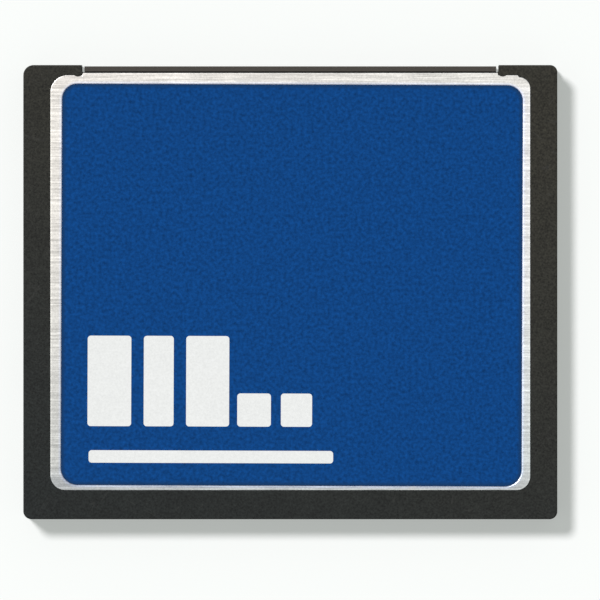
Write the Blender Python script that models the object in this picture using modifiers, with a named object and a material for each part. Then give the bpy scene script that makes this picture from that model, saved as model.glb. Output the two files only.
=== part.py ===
# Slim memory card: a moulded frame, two stamped steel covers, a label in the top cover's
# recess, a fifty-way socket connector and a circuit board with its chips between them.
# Metres, +Z up. The socket edge faces +Y, the label faces up, and the origin is on the
# card's underside in the middle of its outline.

import math

import bmesh
import bpy
from mathutils import Matrix

MM = 0.001

# Card outline
CARD_WIDTH = 42.8 * MM
CARD_LENGTH = 36.4 * MM
CARD_THICKNESS = 3.3 * MM
CARD_CORNER_RADIUS = 0.5 * MM

# Clearances
FIT = 0.03 * MM             # round the edge of a piece that drops into another
SEAT = 0.02 * MM            # between faces that rest on one another
RUN_OUT = 1.0 * MM          # how far a cutter runs past the face that it opens
WELD_DISTANCE = 0.001 * MM

# Frame
RAIL_WIDTH = 2.17 * MM      # what shows of each side rail beside the cover
REAR_BAR_WIDTH = 2.33 * MM
FRAME_DROP = 0.05 * MM      # the frame's faces lie this far below the covers' rims
FRAME_EDGE_ROUND = 0.12 * MM
LEDGE_WIDTH = 1.3 * MM      # ledge under the covers' edges
SHELF_WIDTH = 0.9 * MM      # shelf under the board's edges
BLOCK_FACE_LENGTH = 0.785 * MM      # what shows of each front corner block
BLOCK_LENGTH = 1.2 * MM     # the whole block, with what lies under the cover
BLOCK_WIDTH = 4.68 * MM     # from the card's side to the mouth between the blocks
NUB_RADIUS = 0.27 * MM      # lobe on each block's inner rear corner that locates the covers
NUB_INSIDE = 0.17 * MM      # its middle, ahead of the block's rear edge
PEG_RADIUS = 0.6 * MM       # pegs that locate the board
PEG_TO_REAR = 8.5 * MM      # ahead of the board window's rear edge
PEG_RISE = 0.9 * MM

# Guide slots in the sides, open at the front
GUIDE_LENGTH = 25.78 * MM
GUIDE_DEPTH = 1.01 * MM
GUIDE_HEIGHT_LEFT = 1.6 * MM
GUIDE_HEIGHT_RIGHT = 0.99 * MM

# Fingernail groove under the rear bar
NAIL_GROOVE_LENGTH = 26.0 * MM
NAIL_GROOVE_WIDTH = 1.01 * MM
NAIL_GROOVE_DEPTH = 0.63 * MM
NAIL_GROOVE_FROM_REAR = 0.76 * MM
NAIL_GROOVE_CORNER = 0.4 * MM

# Stamped covers
SHEET = 0.2 * MM
COVER_SETBACK = 0.63 * MM   # front edge behind the card's front, between the blocks
COVER_CORNER_RADIUS = 1.15 * MM
SHOULDER_CORNER_RADIUS = 0.885 * MM     # the front right corner, below its shoulder
SHOULDER_DROP = 0.17 * MM
SHOULDER_RUN = 0.13 * MM
COVER_EDGE_ROUND = 0.06 * MM
RECESS_DEPTH = 0.2 * MM
RECESS_WALL = 0.21 * MM     # width of the sloping wall round the recess
TAB_COUNT = 3               # snap tabs on each side
TAB_FROM_END = 5.7 * MM     # middle of each end tab from the cover's end
TAB_LENGTH = 3.0 * MM
TAB_DROP = 1.2 * MM         # from the rim's underside to the tab's tip

# Label
RIM_LEFT = 0.89 * MM        # steel that shows on each side of the label
RIM_RIGHT = 0.66 * MM
RIM_FRONT = 0.92 * MM
RIM_REAR = 0.355 * MM
LABEL_THICKNESS = 0.1 * MM
LABEL_CORNER_RADIUS = 1.15 * MM
LABEL_GAP = 0.06 * MM       # between the label and the foot of the recess wall
LABEL_TURN = math.radians(-0.15)        # the label is stuck on slightly askew

# Connector housing
NOSE_SIDE_GAP = 0.22 * MM   # to each corner block
NOSE_SETBACK = 0.1 * MM
NOSE_DROP = 0.1 * MM        # the nose's faces lie this far inside the card's
NOSE_LIP_LENGTH = 0.2 * MM
NOSE_LIP_DROP = 0.06 * MM
NOSE_CHAMFER = 0.08 * MM
NOSE_GROOVE = 0.13 * MM     # groove between the nose and the covers' front edges
COLLAR_SETBACK = 0.58 * MM  # collar that fills the mouth behind the nose, from the card's front
HOUSING_LENGTH = 6.6 * MM   # nose face to rear face
EAR_SETBACK = 0.05 * MM     # behind the frame's corner blocks

# Contact cavities, two rows
END_WALL = 1.2 * MM         # least distance from the nose's end to a row's first contact
PITCH = 1.27 * MM
ROW_FROM_FACE = 1.015 * MM  # each row below its face of the card
ENTRY_SIZE = 0.55 * MM
ENTRY_DEPTH = 0.76 * MM
LEAD_IN_SIZE = 0.85 * MM
LEAD_IN_DEPTH = 0.26 * MM
CAVITY_HEIGHT = 0.8 * MM

# Contacts, each a stamped fork with a tail on the board
CONTACT_WIDTH = 0.45 * MM
FORK_GAP = 0.06 * MM        # above and below the fork in its cavity
FORK_LENGTH = 2.65 * MM
FORK_TAPER = 0.04 * MM
FORK_TIP_FLARE = 0.35 * MM
FORK_PINCH = 0.32 * MM      # opening where the fork grips a pin
FORK_ROOT_OPENING = 0.4 * MM
FORK_TIP_OPENING = 0.42 * MM
FORK_TO_ENTRY = 0.1 * MM
STEM_TO_REAR = 0.4 * MM
TAIL_THICKNESS = 0.15 * MM
TAIL_ON_BOARD = 1.8 * MM
TAIL_BEND = 0.05 * MM       # from the housing to the bend down and from the board to the next

# Circuit board
BOARD_THICKNESS = 0.6 * MM
BOARD_EDGE_GAP = 0.12 * MM
BOARD_TO_HOUSING = 0.3 * MM
BOARD_CORNER_RADIUS = 0.8 * MM
PEG_GAP = 0.08 * MM

# Small capacitors on the board, a row before the chips and a row between them
CAPACITOR_LENGTH = 1.0 * MM
CAPACITOR_WIDTH = 0.5 * MM
CAPACITOR_HEIGHT = 0.5 * MM
CAPACITOR_SINK = 0.1 * MM
FRONT_CAPACITORS = 6
FRONT_CAPACITOR_PITCH = 2.0 * MM
FRONT_ROW_TO_TAILS = 1.6 * MM
CRYSTAL_TO_CAPACITORS = 4.8 * MM
MIDDLE_CAPACITORS = 5
MIDDLE_CAPACITOR_PITCH = 2.4 * MM

# Chips, placed from the board's edges and the contacts' tails
CHIP_TO_COVER = 0.14 * MM
CHIP_TO_REAR = 1.0 * MM
CHIP_TO_TAILS = 2.8 * MM
CHIP_STANDOFF = 0.06 * MM
CHIP_DRAFT = 0.06 * MM
CHIP_DOT_RADIUS = 0.5 * MM  # moulded dot that marks the first lead
CHIP_DOT_DEPTH = 0.06 * MM
CHIP_DOT_INSET = 1.3 * MM
LEAD_WIDTH = 0.22 * MM
LEAD_THICKNESS = 0.13 * MM
LEAD_REACH = 0.8 * MM
LEAD_SHOULDER = 0.2 * MM
LEAD_FOOT = 0.5 * MM
LEAD_ROOT = 0.2 * MM        # how far a lead runs into its package
FLASH_WIDTH = 12.0 * MM
FLASH_LEAD_PITCH = 0.5 * MM
FLASH_BARE_CORNER = 0.2 * MM        # least distance from a package corner to a lead
FLASH_TOP_TO_SIDE = 1.21 * MM
FLASH_BOTTOM_TO_SIDE = 5.81 * MM
CONTROLLER_TO_SIDE = 3.21 * MM
CONTROLLER_TO_FLASH = 5.2 * MM
CONTROLLER_SHORTER = 2.2 * MM       # at each end, than the flash chip beside it
CONTROLLER_LEAD_PITCH = 0.65 * MM
CONTROLLER_BARE_CORNER = 0.6 * MM

# Crystal
CRYSTAL_SIZE = (3.2 * MM, 2.5 * MM, 0.8 * MM)
CRYSTAL_BASE = 0.35 * MM
CRYSTAL_LID_INSET = 0.15 * MM
CRYSTAL_TO_SIDE = 4.0 * MM

# Facets
CORNER_STEPS = 6            # on a quarter round
POST_STEPS = 16             # round a full circle
EDGE_STEPS = 2              # across a rounded edge

# Levels and edges that follow from the sizes above
HALF_WIDTH = CARD_WIDTH / 2
FRONT = CARD_LENGTH / 2
REAR = -CARD_LENGTH / 2
MIDDLE_Z = CARD_THICKNESS / 2
COVER_HALF_WIDTH = HALF_WIDTH - RAIL_WIDTH
COVER_FRONT = FRONT - COVER_SETBACK
COVER_CORNER_FRONT = FRONT - BLOCK_FACE_LENGTH - FIT
COVER_REAR = REAR + REAR_BAR_WIDTH
FIRST_TAB_Y = COVER_REAR + TAB_FROM_END
TAB_SPACING = (COVER_CORNER_FRONT - TAB_FROM_END - FIRST_TAB_Y) / (TAB_COUNT - 1)
RECESS_FLOOR_Z = CARD_THICKNESS - RECESS_DEPTH
COVER_INSIDE_Z = RECESS_FLOOR_Z - SHEET
LEDGE_Z = COVER_INSIDE_Z - SEAT
WINDOW_HALF_WIDTH = COVER_HALF_WIDTH - LEDGE_WIDTH
WINDOW_REAR = COVER_REAR + LEDGE_WIDTH
BLOCK_REAR = FRONT - BLOCK_LENGTH
PEG_Y = WINDOW_REAR + PEG_TO_REAR
MOUTH_HALF_WIDTH = HALF_WIDTH - BLOCK_WIDTH
NUB_X = MOUTH_HALF_WIDTH + NUB_RADIUS
NUB_Y = FRONT - BLOCK_FACE_LENGTH + NUB_INSIDE
LABEL_LOW = (RIM_LEFT - COVER_HALF_WIDTH, COVER_REAR + RIM_REAR)
LABEL_HIGH = (COVER_HALF_WIDTH - RIM_RIGHT, COVER_FRONT - RIM_FRONT)
NOSE_HALF_WIDTH = MOUTH_HALF_WIDTH - NOSE_SIDE_GAP
NOSE_FRONT = FRONT - NOSE_SETBACK
HOUSING_REAR = NOSE_FRONT - HOUSING_LENGTH
BOARD_TOP_Z = MIDDLE_Z + BOARD_THICKNESS / 2
SHELF_Z = MIDDLE_Z - BOARD_THICKNESS / 2 - SEAT
BOARD_HALF_WIDTH = WINDOW_HALF_WIDTH - BOARD_EDGE_GAP
BOARD_REAR = WINDOW_REAR + BOARD_EDGE_GAP
BOARD_FRONT = HOUSING_REAR - BOARD_TO_HOUSING
CAVITY_FRONT = NOSE_FRONT - ENTRY_DEPTH
ROW_Z = CARD_THICKNESS - ROW_FROM_FACE
ROW_SPACING = CARD_THICKNESS - 2 * ROW_FROM_FACE
CONTACTS_PER_ROW = int(2 * (NOSE_HALF_WIDTH - END_WALL) / PITCH) + 1
FIRST_CONTACT_X = -(CONTACTS_PER_ROW - 1) / 2 * PITCH
TAIL_END = BOARD_FRONT - TAIL_ON_BOARD
CHIP_THICKNESS = COVER_INSIDE_Z - CHIP_TO_COVER - BOARD_TOP_Z - CHIP_STANDOFF
CHIP_REAR = BOARD_REAR + CHIP_TO_REAR
CHIP_FRONT = TAIL_END - CHIP_TO_TAILS
CHIP_MIDDLE = (CHIP_REAR + CHIP_FRONT) / 2
FLASH_LENGTH = CHIP_FRONT - CHIP_REAR - 2 * LEAD_REACH
FLASH_TOP_X = BOARD_HALF_WIDTH - FLASH_TOP_TO_SIDE - FLASH_WIDTH / 2
FLASH_BOTTOM_X = FLASH_BOTTOM_TO_SIDE + FLASH_WIDTH / 2 - BOARD_HALF_WIDTH
CONTROLLER_LEFT = CONTROLLER_TO_SIDE - BOARD_HALF_WIDTH
CONTROLLER_RIGHT = FLASH_TOP_X - FLASH_WIDTH / 2 - CONTROLLER_TO_FLASH
CONTROLLER_LENGTH = FLASH_LENGTH - 2 * CONTROLLER_SHORTER
FRONT_ROW_Y = TAIL_END - FRONT_ROW_TO_TAILS
CRYSTAL_X = CRYSTAL_TO_SIDE - BOARD_HALF_WIDTH


# Turns an outline drawn in X and Y so that it stands in Y and Z
UPRIGHT = Matrix.Rotation(math.pi / 2, 4, "Z") @ Matrix.Rotation(math.pi / 2, 4, "X")


def clear_scene():
    for item in list(bpy.data.objects):
        bpy.data.objects.remove(item)


def add_collection(name):
    collection = bpy.data.collections.new(name)
    bpy.context.scene.collection.children.link(collection)
    return collection


clear_scene()
CARD = add_collection("memory_card")
CUTTERS = add_collection("cutters")


def add_material(name, colour, roughness, metallic=0.0):
    material = bpy.data.materials.new(name)
    material.use_nodes = True
    shader = material.node_tree.nodes["Principled BSDF"]
    shader.inputs["Base Color"].default_value = (*colour, 1.0)
    shader.inputs["Roughness"].default_value = roughness
    shader.inputs["Metallic"].default_value = metallic
    return material


def arc(centre, radius, start):
    """Points along a quarter circle that starts at an angle in degrees."""
    angles = [math.radians(start + 90 * i / CORNER_STEPS) for i in range(CORNER_STEPS + 1)]
    return [(centre[0] + radius * math.cos(a), centre[1] + radius * math.sin(a)) for a in angles]


def rounded_rectangle(low, high, radius):
    """Outline that runs anticlockwise from the right side, with its front corner first."""
    left, right = low[0] + radius, high[0] - radius
    rear, front = low[1] + radius, high[1] - radius
    points = arc((right, front), radius, 0)
    points += arc((left, front), radius, 90)
    points += arc((left, rear), radius, 180)
    points += arc((right, rear), radius, 270)
    return points


def place_mesh(name, mesh, cutter=False, material=None):
    """Object for a mesh, in the card's collection or among the cutters."""
    piece = bpy.data.objects.new(name, mesh)
    if cutter:
        CUTTERS.objects.link(piece)
        piece.hide_render = True
        piece.display_type = "WIRE"
    else:
        CARD.objects.link(piece)
    if material:
        mesh.materials.append(material)
    return piece


def flat_solid(name, outline, bottom, top, cutter=False, material=None):
    """Flat outline with a thickness. It is drawn in millimetres and brought to metres."""
    curve = bpy.data.curves.new(name, "CURVE")
    curve.dimensions = "2D"
    curve.fill_mode = "BOTH"
    curve.extrude = (top - bottom) / MM / 2
    spline = curve.splines.new("POLY")
    spline.points.add(len(outline) - 1)
    for point, (x, y) in zip(spline.points, outline):
        point.co = (x / MM, y / MM, 0, 1)
    spline.use_cyclic_u = True
    drawing = bpy.data.objects.new(name, curve)
    CUTTERS.objects.link(drawing)
    graph = bpy.context.evaluated_depsgraph_get()
    mesh = bpy.data.meshes.new_from_object(drawing.evaluated_get(graph))
    bpy.data.objects.remove(drawing)
    solid = bmesh.new()
    solid.from_mesh(mesh)
    bmesh.ops.scale(solid, vec=(MM, MM, MM), verts=solid.verts)
    bmesh.ops.remove_doubles(solid, verts=solid.verts, dist=WELD_DISTANCE)
    bmesh.ops.translate(solid, vec=(0, 0, (bottom + top) / 2), verts=solid.verts)
    bmesh.ops.dissolve_limit(
        solid, angle_limit=math.radians(0.5), verts=solid.verts, edges=solid.edges)
    bmesh.ops.recalc_face_normals(solid, faces=solid.faces)
    solid.to_mesh(mesh)
    solid.free()
    mesh.name = name
    return place_mesh(name, mesh, cutter, material)


def box(name, low, high, cutter=False, material=None):
    solid = bmesh.new()
    bmesh.ops.create_cube(solid, size=1)
    size = [high[i] - low[i] for i in range(3)]
    centre = [(high[i] + low[i]) / 2 for i in range(3)]
    bmesh.ops.scale(solid, vec=size, verts=solid.verts)
    bmesh.ops.translate(solid, vec=centre, verts=solid.verts)
    mesh = bpy.data.meshes.new(name)
    solid.to_mesh(mesh)
    solid.free()
    return place_mesh(name, mesh, cutter, material)


def post(name, centre, radius, bottom, top):
    """Upright round cutter."""
    solid = bmesh.new()
    bmesh.ops.create_cone(
        solid, cap_ends=True, segments=POST_STEPS, radius1=radius, radius2=radius,
        depth=top - bottom)
    bmesh.ops.translate(solid, vec=(*centre, (bottom + top) / 2), verts=solid.verts)
    mesh = bpy.data.meshes.new(name)
    solid.to_mesh(mesh)
    solid.free()
    return place_mesh(name, mesh, cutter=True)


def loft(name, rings, closed_start, material=None):
    """Skin through rings of matching points, with the last ring filled."""
    solid = bmesh.new()
    rows = [[solid.verts.new(point) for point in ring] for ring in rings]
    for lower, upper in zip(rows, rows[1:]):
        for i in range(len(lower)):
            j = (i + 1) % len(lower)
            solid.faces.new((lower[i], lower[j], upper[j], upper[i]))
    solid.faces.new(rows[-1])
    if closed_start:
        solid.faces.new(reversed(rows[0]))
    mesh = bpy.data.meshes.new(name)
    solid.to_mesh(mesh)
    solid.free()
    return place_mesh(name, mesh, material=material)


def combine(piece, tool, operation):
    modifier = piece.modifiers.new(tool.name, "BOOLEAN")
    modifier.operation = operation
    modifier.solver = "EXACT"
    modifier.object = tool


def cut(piece, tool):
    combine(piece, tool, "DIFFERENCE")


def join(piece, tool):
    combine(piece, tool, "UNION")


def round_edges(piece, width, sharper_than):
    bevel = piece.modifiers.new("rounded edges", "BEVEL")
    bevel.width = width
    bevel.segments = EDGE_STEPS
    bevel.limit_method = "ANGLE"
    bevel.angle_limit = math.radians(sharper_than)


def repeat(piece, count, step):
    array = piece.modifiers.new("repeat", "ARRAY")
    array.count = count
    array.use_relative_offset = False
    array.use_constant_offset = True
    array.constant_offset_displace = step


def cover_outline(inset):
    """Outline of a cover. Its front edge comes forward between the corner blocks, and its
    front right corner has a small shoulder."""
    side = COVER_HALF_WIDTH - inset
    step = NOSE_HALF_WIDTH - inset
    front = COVER_FRONT - inset
    corner_front = COVER_CORNER_FRONT - inset
    radius = COVER_CORNER_RADIUS - inset
    low = (-side, COVER_REAR + inset)
    others = rounded_rectangle(low, (side, corner_front), radius)[CORNER_STEPS + 1:]
    bend_x = COVER_HALF_WIDTH - SHOULDER_CORNER_RADIUS
    bend_y = COVER_CORNER_FRONT - SHOULDER_DROP - SHOULDER_CORNER_RADIUS
    front_right = arc((bend_x, bend_y), SHOULDER_CORNER_RADIUS - inset, 0)
    front_right.append((bend_x - SHOULDER_RUN - inset / 2, corner_front))
    forward = [(step, corner_front), (step, front), (-step, front), (-step, corner_front)]
    return front_right + forward + others


def recess_outline(grow):
    """Outline round the label, with as many points as the cover's outline."""
    low = (LABEL_LOW[0] - grow, LABEL_LOW[1] - grow)
    high = (LABEL_HIGH[0] + grow, LABEL_HIGH[1] + grow)
    corners = rounded_rectangle(low, high, LABEL_CORNER_RADIUS + grow)
    front_right = corners[:CORNER_STEPS + 1]
    others = corners[CORNER_STEPS + 1:]
    right, left = front_right[-1][0], others[0][0]
    gaps = len(cover_outline(0)) - len(corners) + 1
    forward = [(right + (left - right) * i / gaps, high[1]) for i in range(1, gaps)]
    return front_right + forward + others


def raised(outline, z):
    return [(x, y, z) for x, y in outline]


def tab_places():
    """Each snap tab's side, -1 or 1, and the middle of its length."""
    return [
        (side, FIRST_TAB_Y + i * TAB_SPACING) for side in (-1, 1) for i in range(TAB_COUNT)]


def tab_box(name, side, y, bottom, top, grow):
    """Upright strip just inside a cover's side edge: a tab, or the pocket for it."""
    outer = COVER_HALF_WIDTH - FIT + grow
    inner = COVER_HALF_WIDTH - FIT - SHEET - grow
    xs = sorted((side * inner, side * outer))
    half = TAB_LENGTH / 2 + grow
    return box(name, (xs[0], y - half, bottom), (xs[1], y + half, top), cutter=True)


def build_frame():
    """Moulded frame, cut from a rounded plate like the cavity of its mould."""
    plastic = add_material("frame_plastic", (0.030, 0.031, 0.029), 0.5)
    bottom, top = FRAME_DROP, CARD_THICKNESS - FRAME_DROP
    plate = rounded_rectangle(
        (-HALF_WIDTH, REAR), (HALF_WIDTH, FRONT), CARD_CORNER_RADIUS)
    frame = flat_solid("frame", plate, bottom, top, material=plastic)
    round_edges(frame, FRAME_EDGE_ROUND, 60)

    below, above = -RUN_OUT, CARD_THICKNESS + RUN_OUT
    shelf_half_width = WINDOW_HALF_WIDTH - SHELF_WIDTH
    shelf_rear = WINDOW_REAR + SHELF_WIDTH
    shelf_front = HOUSING_REAR - SEAT
    cut(frame, box(
        "shelf_window", (-shelf_half_width, shelf_rear, below),
        (shelf_half_width, BLOCK_REAR, above), cutter=True))
    board_window = rounded_rectangle(
        (-WINDOW_HALF_WIDTH, WINDOW_REAR), (WINDOW_HALF_WIDTH, BLOCK_REAR),
        BOARD_CORNER_RADIUS)
    cut(frame, flat_solid("board_window", board_window, SHELF_Z, above, cutter=True))
    cut(frame, box(
        "connector_window", (-WINDOW_HALF_WIDTH, shelf_front, below),
        (WINDOW_HALF_WIDTH, BLOCK_REAR, above), cutter=True))
    cut(frame, box(
        "mouth", (-MOUTH_HALF_WIDTH, BLOCK_REAR - RUN_OUT, below),
        (MOUTH_HALF_WIDTH, FRONT + RUN_OUT, above), cutter=True))

    rebate = cover_outline(-FIT)
    cut(frame, flat_solid("top_rebate", rebate, LEDGE_Z, above, cutter=True))
    cut(frame, flat_solid(
        "bottom_rebate", rebate, below, CARD_THICKNESS - LEDGE_Z, cutter=True))

    for side, height in ((-1, GUIDE_HEIGHT_LEFT), (1, GUIDE_HEIGHT_RIGHT)):
        xs = sorted((side * (HALF_WIDTH - GUIDE_DEPTH), side * (HALF_WIDTH + RUN_OUT)))
        cut(frame, box(
            f"guide_slot_{side}", (xs[0], FRONT - GUIDE_LENGTH, MIDDLE_Z - height / 2),
            (xs[1], FRONT + RUN_OUT, MIDDLE_Z + height / 2), cutter=True))

    groove_rear = REAR + NAIL_GROOVE_FROM_REAR
    groove = rounded_rectangle(
        (-NAIL_GROOVE_LENGTH / 2, groove_rear),
        (NAIL_GROOVE_LENGTH / 2, groove_rear + NAIL_GROOVE_WIDTH), NAIL_GROOVE_CORNER)
    cut(frame, flat_solid(
        "nail_groove", groove, below, bottom + NAIL_GROOVE_DEPTH, cutter=True))

    for number, (side, y) in enumerate(tab_places()):
        cut(frame, tab_box(
            f"tab_pocket_{number}", side, y, CARD_THICKNESS - LEDGE_Z - FIT, LEDGE_Z + FIT,
            FIT))

    for side in (-1, 1):
        join(frame, post(
            f"nub_{side}", (side * NUB_X, NUB_Y), NUB_RADIUS, bottom + FRAME_DROP,
            top - FRAME_DROP))
        join(frame, post(
            f"peg_{side}", (side * WINDOW_HALF_WIDTH, PEG_Y), PEG_RADIUS,
            SHELF_Z - SHEET, SHELF_Z + PEG_RISE))
    return frame


def build_top_cover(steel):
    """Stamped sheet with a recess for the label and snap tabs turned down at its sides."""
    rings = [
        raised(cover_outline(0), CARD_THICKNESS),
        raised(recess_outline(LABEL_GAP + RECESS_WALL), CARD_THICKNESS),
        raised(recess_outline(LABEL_GAP), RECESS_FLOOR_Z),
    ]
    cover = loft("top_cover", rings, closed_start=False, material=steel)
    sheet = cover.modifiers.new("sheet", "SOLIDIFY")
    sheet.thickness = SHEET
    sheet.offset = -1
    sheet.use_even_offset = True
    round_edges(cover, COVER_EDGE_ROUND, 80)
    rim_underside = CARD_THICKNESS - SHEET
    for number, (side, y) in enumerate(tab_places()):
        join(cover, tab_box(
            f"tab_{number}", side, y, rim_underside - TAB_DROP, rim_underside + SHEET / 2, 0))
    for side in (-1, 1):
        cut(cover, post(
            f"nub_notch_{side}", (side * NUB_X, NUB_Y), NUB_RADIUS + FIT,
            rim_underside - RUN_OUT, CARD_THICKNESS + RUN_OUT))
    return cover


def build_bottom_cover(top_cover):
    """The same stamping, turned over about the card's length."""
    graph = bpy.context.evaluated_depsgraph_get()
    mesh = bpy.data.meshes.new_from_object(top_cover.evaluated_get(graph))
    cover = place_mesh("bottom_cover", mesh)
    cover.rotation_euler = (0, math.pi, 0)
    cover.location = (0, 0, CARD_THICKNESS)
    return cover


def build_label():
    film = add_material("label_film", (0.008, 0.058, 0.222), 0.45)
    half_x, half_y = [(high - low) / 2 for low, high in zip(LABEL_LOW, LABEL_HIGH)]
    outline = rounded_rectangle((-half_x, -half_y), (half_x, half_y), LABEL_CORNER_RADIUS)
    bottom = RECESS_FLOOR_Z + SEAT / 2
    label = flat_solid(
        "front_label", outline, bottom, bottom + LABEL_THICKNESS, material=film)
    label.location = (LABEL_LOW[0] + half_x, LABEL_LOW[1] + half_y, 0)
    label.rotation_euler = (0, 0, LABEL_TURN)
    return label


def nose_profile():
    """Upper half of the housing's side profile, from the nose face to the rear face."""
    top = CARD_THICKNESS - NOSE_DROP
    lip_top = top - NOSE_LIP_DROP
    body_top = LEDGE_Z
    lip_rear = NOSE_FRONT - NOSE_LIP_LENGTH
    rib_rear = COVER_FRONT + NOSE_GROOVE
    return [
        (NOSE_FRONT, lip_top - NOSE_CHAMFER), (NOSE_FRONT - NOSE_CHAMFER, lip_top),
        (lip_rear, lip_top), (lip_rear - NOSE_LIP_DROP / 2, top), (rib_rear, top),
        (rib_rear, body_top), (HOUSING_REAR, body_top)]


def stand_up(piece, x=0.0):
    """Turns a flat piece so that its outline stands in the plane of Y and Z."""
    piece.matrix_local = Matrix.Translation((x, 0, 0)) @ UPRIGHT


def square_funnel(name, centre, inner_size, outer_size, depth):
    """Four-sided funnel along Y that widens towards the front."""
    solid = bmesh.new()
    bmesh.ops.create_cone(
        solid, cap_ends=True, segments=4, radius1=inner_size / math.sqrt(2),
        radius2=outer_size / math.sqrt(2), depth=depth)
    bmesh.ops.rotate(solid, matrix=Matrix.Rotation(math.pi / 4, 3, "Z"), verts=solid.verts)
    bmesh.ops.rotate(solid, matrix=Matrix.Rotation(-math.pi / 2, 3, "X"), verts=solid.verts)
    bmesh.ops.translate(solid, vec=centre, verts=solid.verts)
    mesh = bpy.data.meshes.new(name)
    solid.to_mesh(mesh)
    solid.free()
    return place_mesh(name, mesh, cutter=True)


def cavity_cutters():
    """Cavity, entry and lead-in of one contact, each repeated over both rows."""
    half, tall = ENTRY_SIZE / 2, CAVITY_HEIGHT / 2
    x, z = FIRST_CONTACT_X, MIDDLE_Z - ROW_SPACING / 2
    cavity = box(
        "cavities", (x - half, HOUSING_REAR - RUN_OUT, z - tall),
        (x + half, CAVITY_FRONT, z + tall), cutter=True)
    entry = box(
        "entries", (x - half, CAVITY_FRONT - RUN_OUT, z - half),
        (x + half, FRONT + RUN_OUT, z + half), cutter=True)
    widening = LEAD_IN_SIZE - ENTRY_SIZE
    lead_in = square_funnel(
        "lead_ins", (x, NOSE_FRONT - LEAD_IN_DEPTH / 2, z), LEAD_IN_SIZE - 2 * widening,
        LEAD_IN_SIZE + widening, 3 * LEAD_IN_DEPTH)
    for cutter in (cavity, entry, lead_in):
        repeat(cutter, CONTACTS_PER_ROW, (PITCH, 0, 0))
        repeat(cutter, 2, (0, 0, ROW_SPACING))
    return cavity, entry, lead_in


def build_connector_housing():
    """Socket body with ears behind the frame's blocks and a ribbed nose between them."""
    plastic = add_material("connector_plastic", (0.052, 0.047, 0.041), 0.45)
    upper = nose_profile()
    lower = [(y, CARD_THICKNESS - z) for y, z in reversed(upper)]
    housing = flat_solid(
        "connector_housing", upper + lower, -NOSE_HALF_WIDTH, NOSE_HALF_WIDTH,
        material=plastic)
    stand_up(housing)
    ear_half_width = WINDOW_HALF_WIDTH - BOARD_EDGE_GAP
    join(housing, box(
        "ears", (-ear_half_width, HOUSING_REAR, CARD_THICKNESS - LEDGE_Z),
        (ear_half_width, BLOCK_REAR - EAR_SETBACK, LEDGE_Z), cutter=True))
    collar_half_width = MOUTH_HALF_WIDTH - FIT
    join(housing, box(
        "collar", (-collar_half_width, HOUSING_REAR, CARD_THICKNESS - LEDGE_Z),
        (collar_half_width, FRONT - COLLAR_SETBACK, LEDGE_Z), cutter=True))
    for cutter in cavity_cutters():
        cut(housing, cutter)
    return housing


def contact_profile():
    """Side profile of a contact of the upper row: a fork, its stem and its bent tail."""
    tip = CAVITY_FRONT - FORK_TO_ENTRY
    pinch = tip - FORK_TIP_FLARE
    root = tip - FORK_LENGTH
    rise = CAVITY_HEIGHT / 2 - FORK_GAP
    stem_rear = HOUSING_REAR + STEM_TO_REAR
    stem_bottom = ROW_Z - rise
    tail_bottom = BOARD_TOP_Z + SEAT
    upper_bend = HOUSING_REAR - TAIL_BEND
    lower_bend = BOARD_FRONT + TAIL_BEND
    tail = [
        (upper_bend, stem_bottom), (lower_bend, tail_bottom), (TAIL_END, tail_bottom)]
    opening = [
        (root, FORK_ROOT_OPENING / 2), (pinch, FORK_PINCH / 2), (tip, FORK_TIP_OPENING / 2)]
    points = [(tip, ROW_Z + rise - FORK_TAPER), (root, ROW_Z + rise), (stem_rear, ROW_Z + rise)]
    points.append((stem_rear, stem_bottom + TAIL_THICKNESS))
    points += [(y, z + TAIL_THICKNESS) for y, z in tail]
    points += reversed(tail)
    points += [(root, stem_bottom), (tip, stem_bottom + FORK_TAPER)]
    points += [(y, ROW_Z - half) for y, half in reversed(opening)]
    points += [(y, ROW_Z + half) for y, half in opening]
    return points


def build_contacts():
    """Two rows of contacts. The lower row is the upper one turned over."""
    gold = add_material("contact_gold", (0.83, 0.56, 0.20), 0.25, 1.0)
    pattern = flat_solid(
        "contact", contact_profile(), -CONTACT_WIDTH / 2, CONTACT_WIDTH / 2, material=gold)
    mesh = pattern.data
    bpy.data.objects.remove(pattern)
    upper_row = bpy.data.objects.new("upper_row", None)
    lower_row = bpy.data.objects.new("lower_row", None)
    lower_row.rotation_euler = (0, math.pi, 0)
    lower_row.location = (0, 0, CARD_THICKNESS)
    for row, name, direction in ((upper_row, "upper", 1), (lower_row, "lower", -1)):
        CARD.objects.link(row)
        for number in range(CONTACTS_PER_ROW):
            contact = place_mesh(f"{name}_contact_{number + 1:02d}", mesh)
            contact.parent = row
            stand_up(contact, direction * (FIRST_CONTACT_X + number * PITCH))


def capacitor(name, x, y):
    """Small block on the board's upper face, sunk into it so that the two are one."""
    bottom = BOARD_TOP_Z - CAPACITOR_SINK
    return box(
        name, (x - CAPACITOR_WIDTH / 2, y - CAPACITOR_LENGTH / 2, bottom),
        (x + CAPACITOR_WIDTH / 2, y + CAPACITOR_LENGTH / 2, BOARD_TOP_Z + CAPACITOR_HEIGHT),
        cutter=True)


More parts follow.
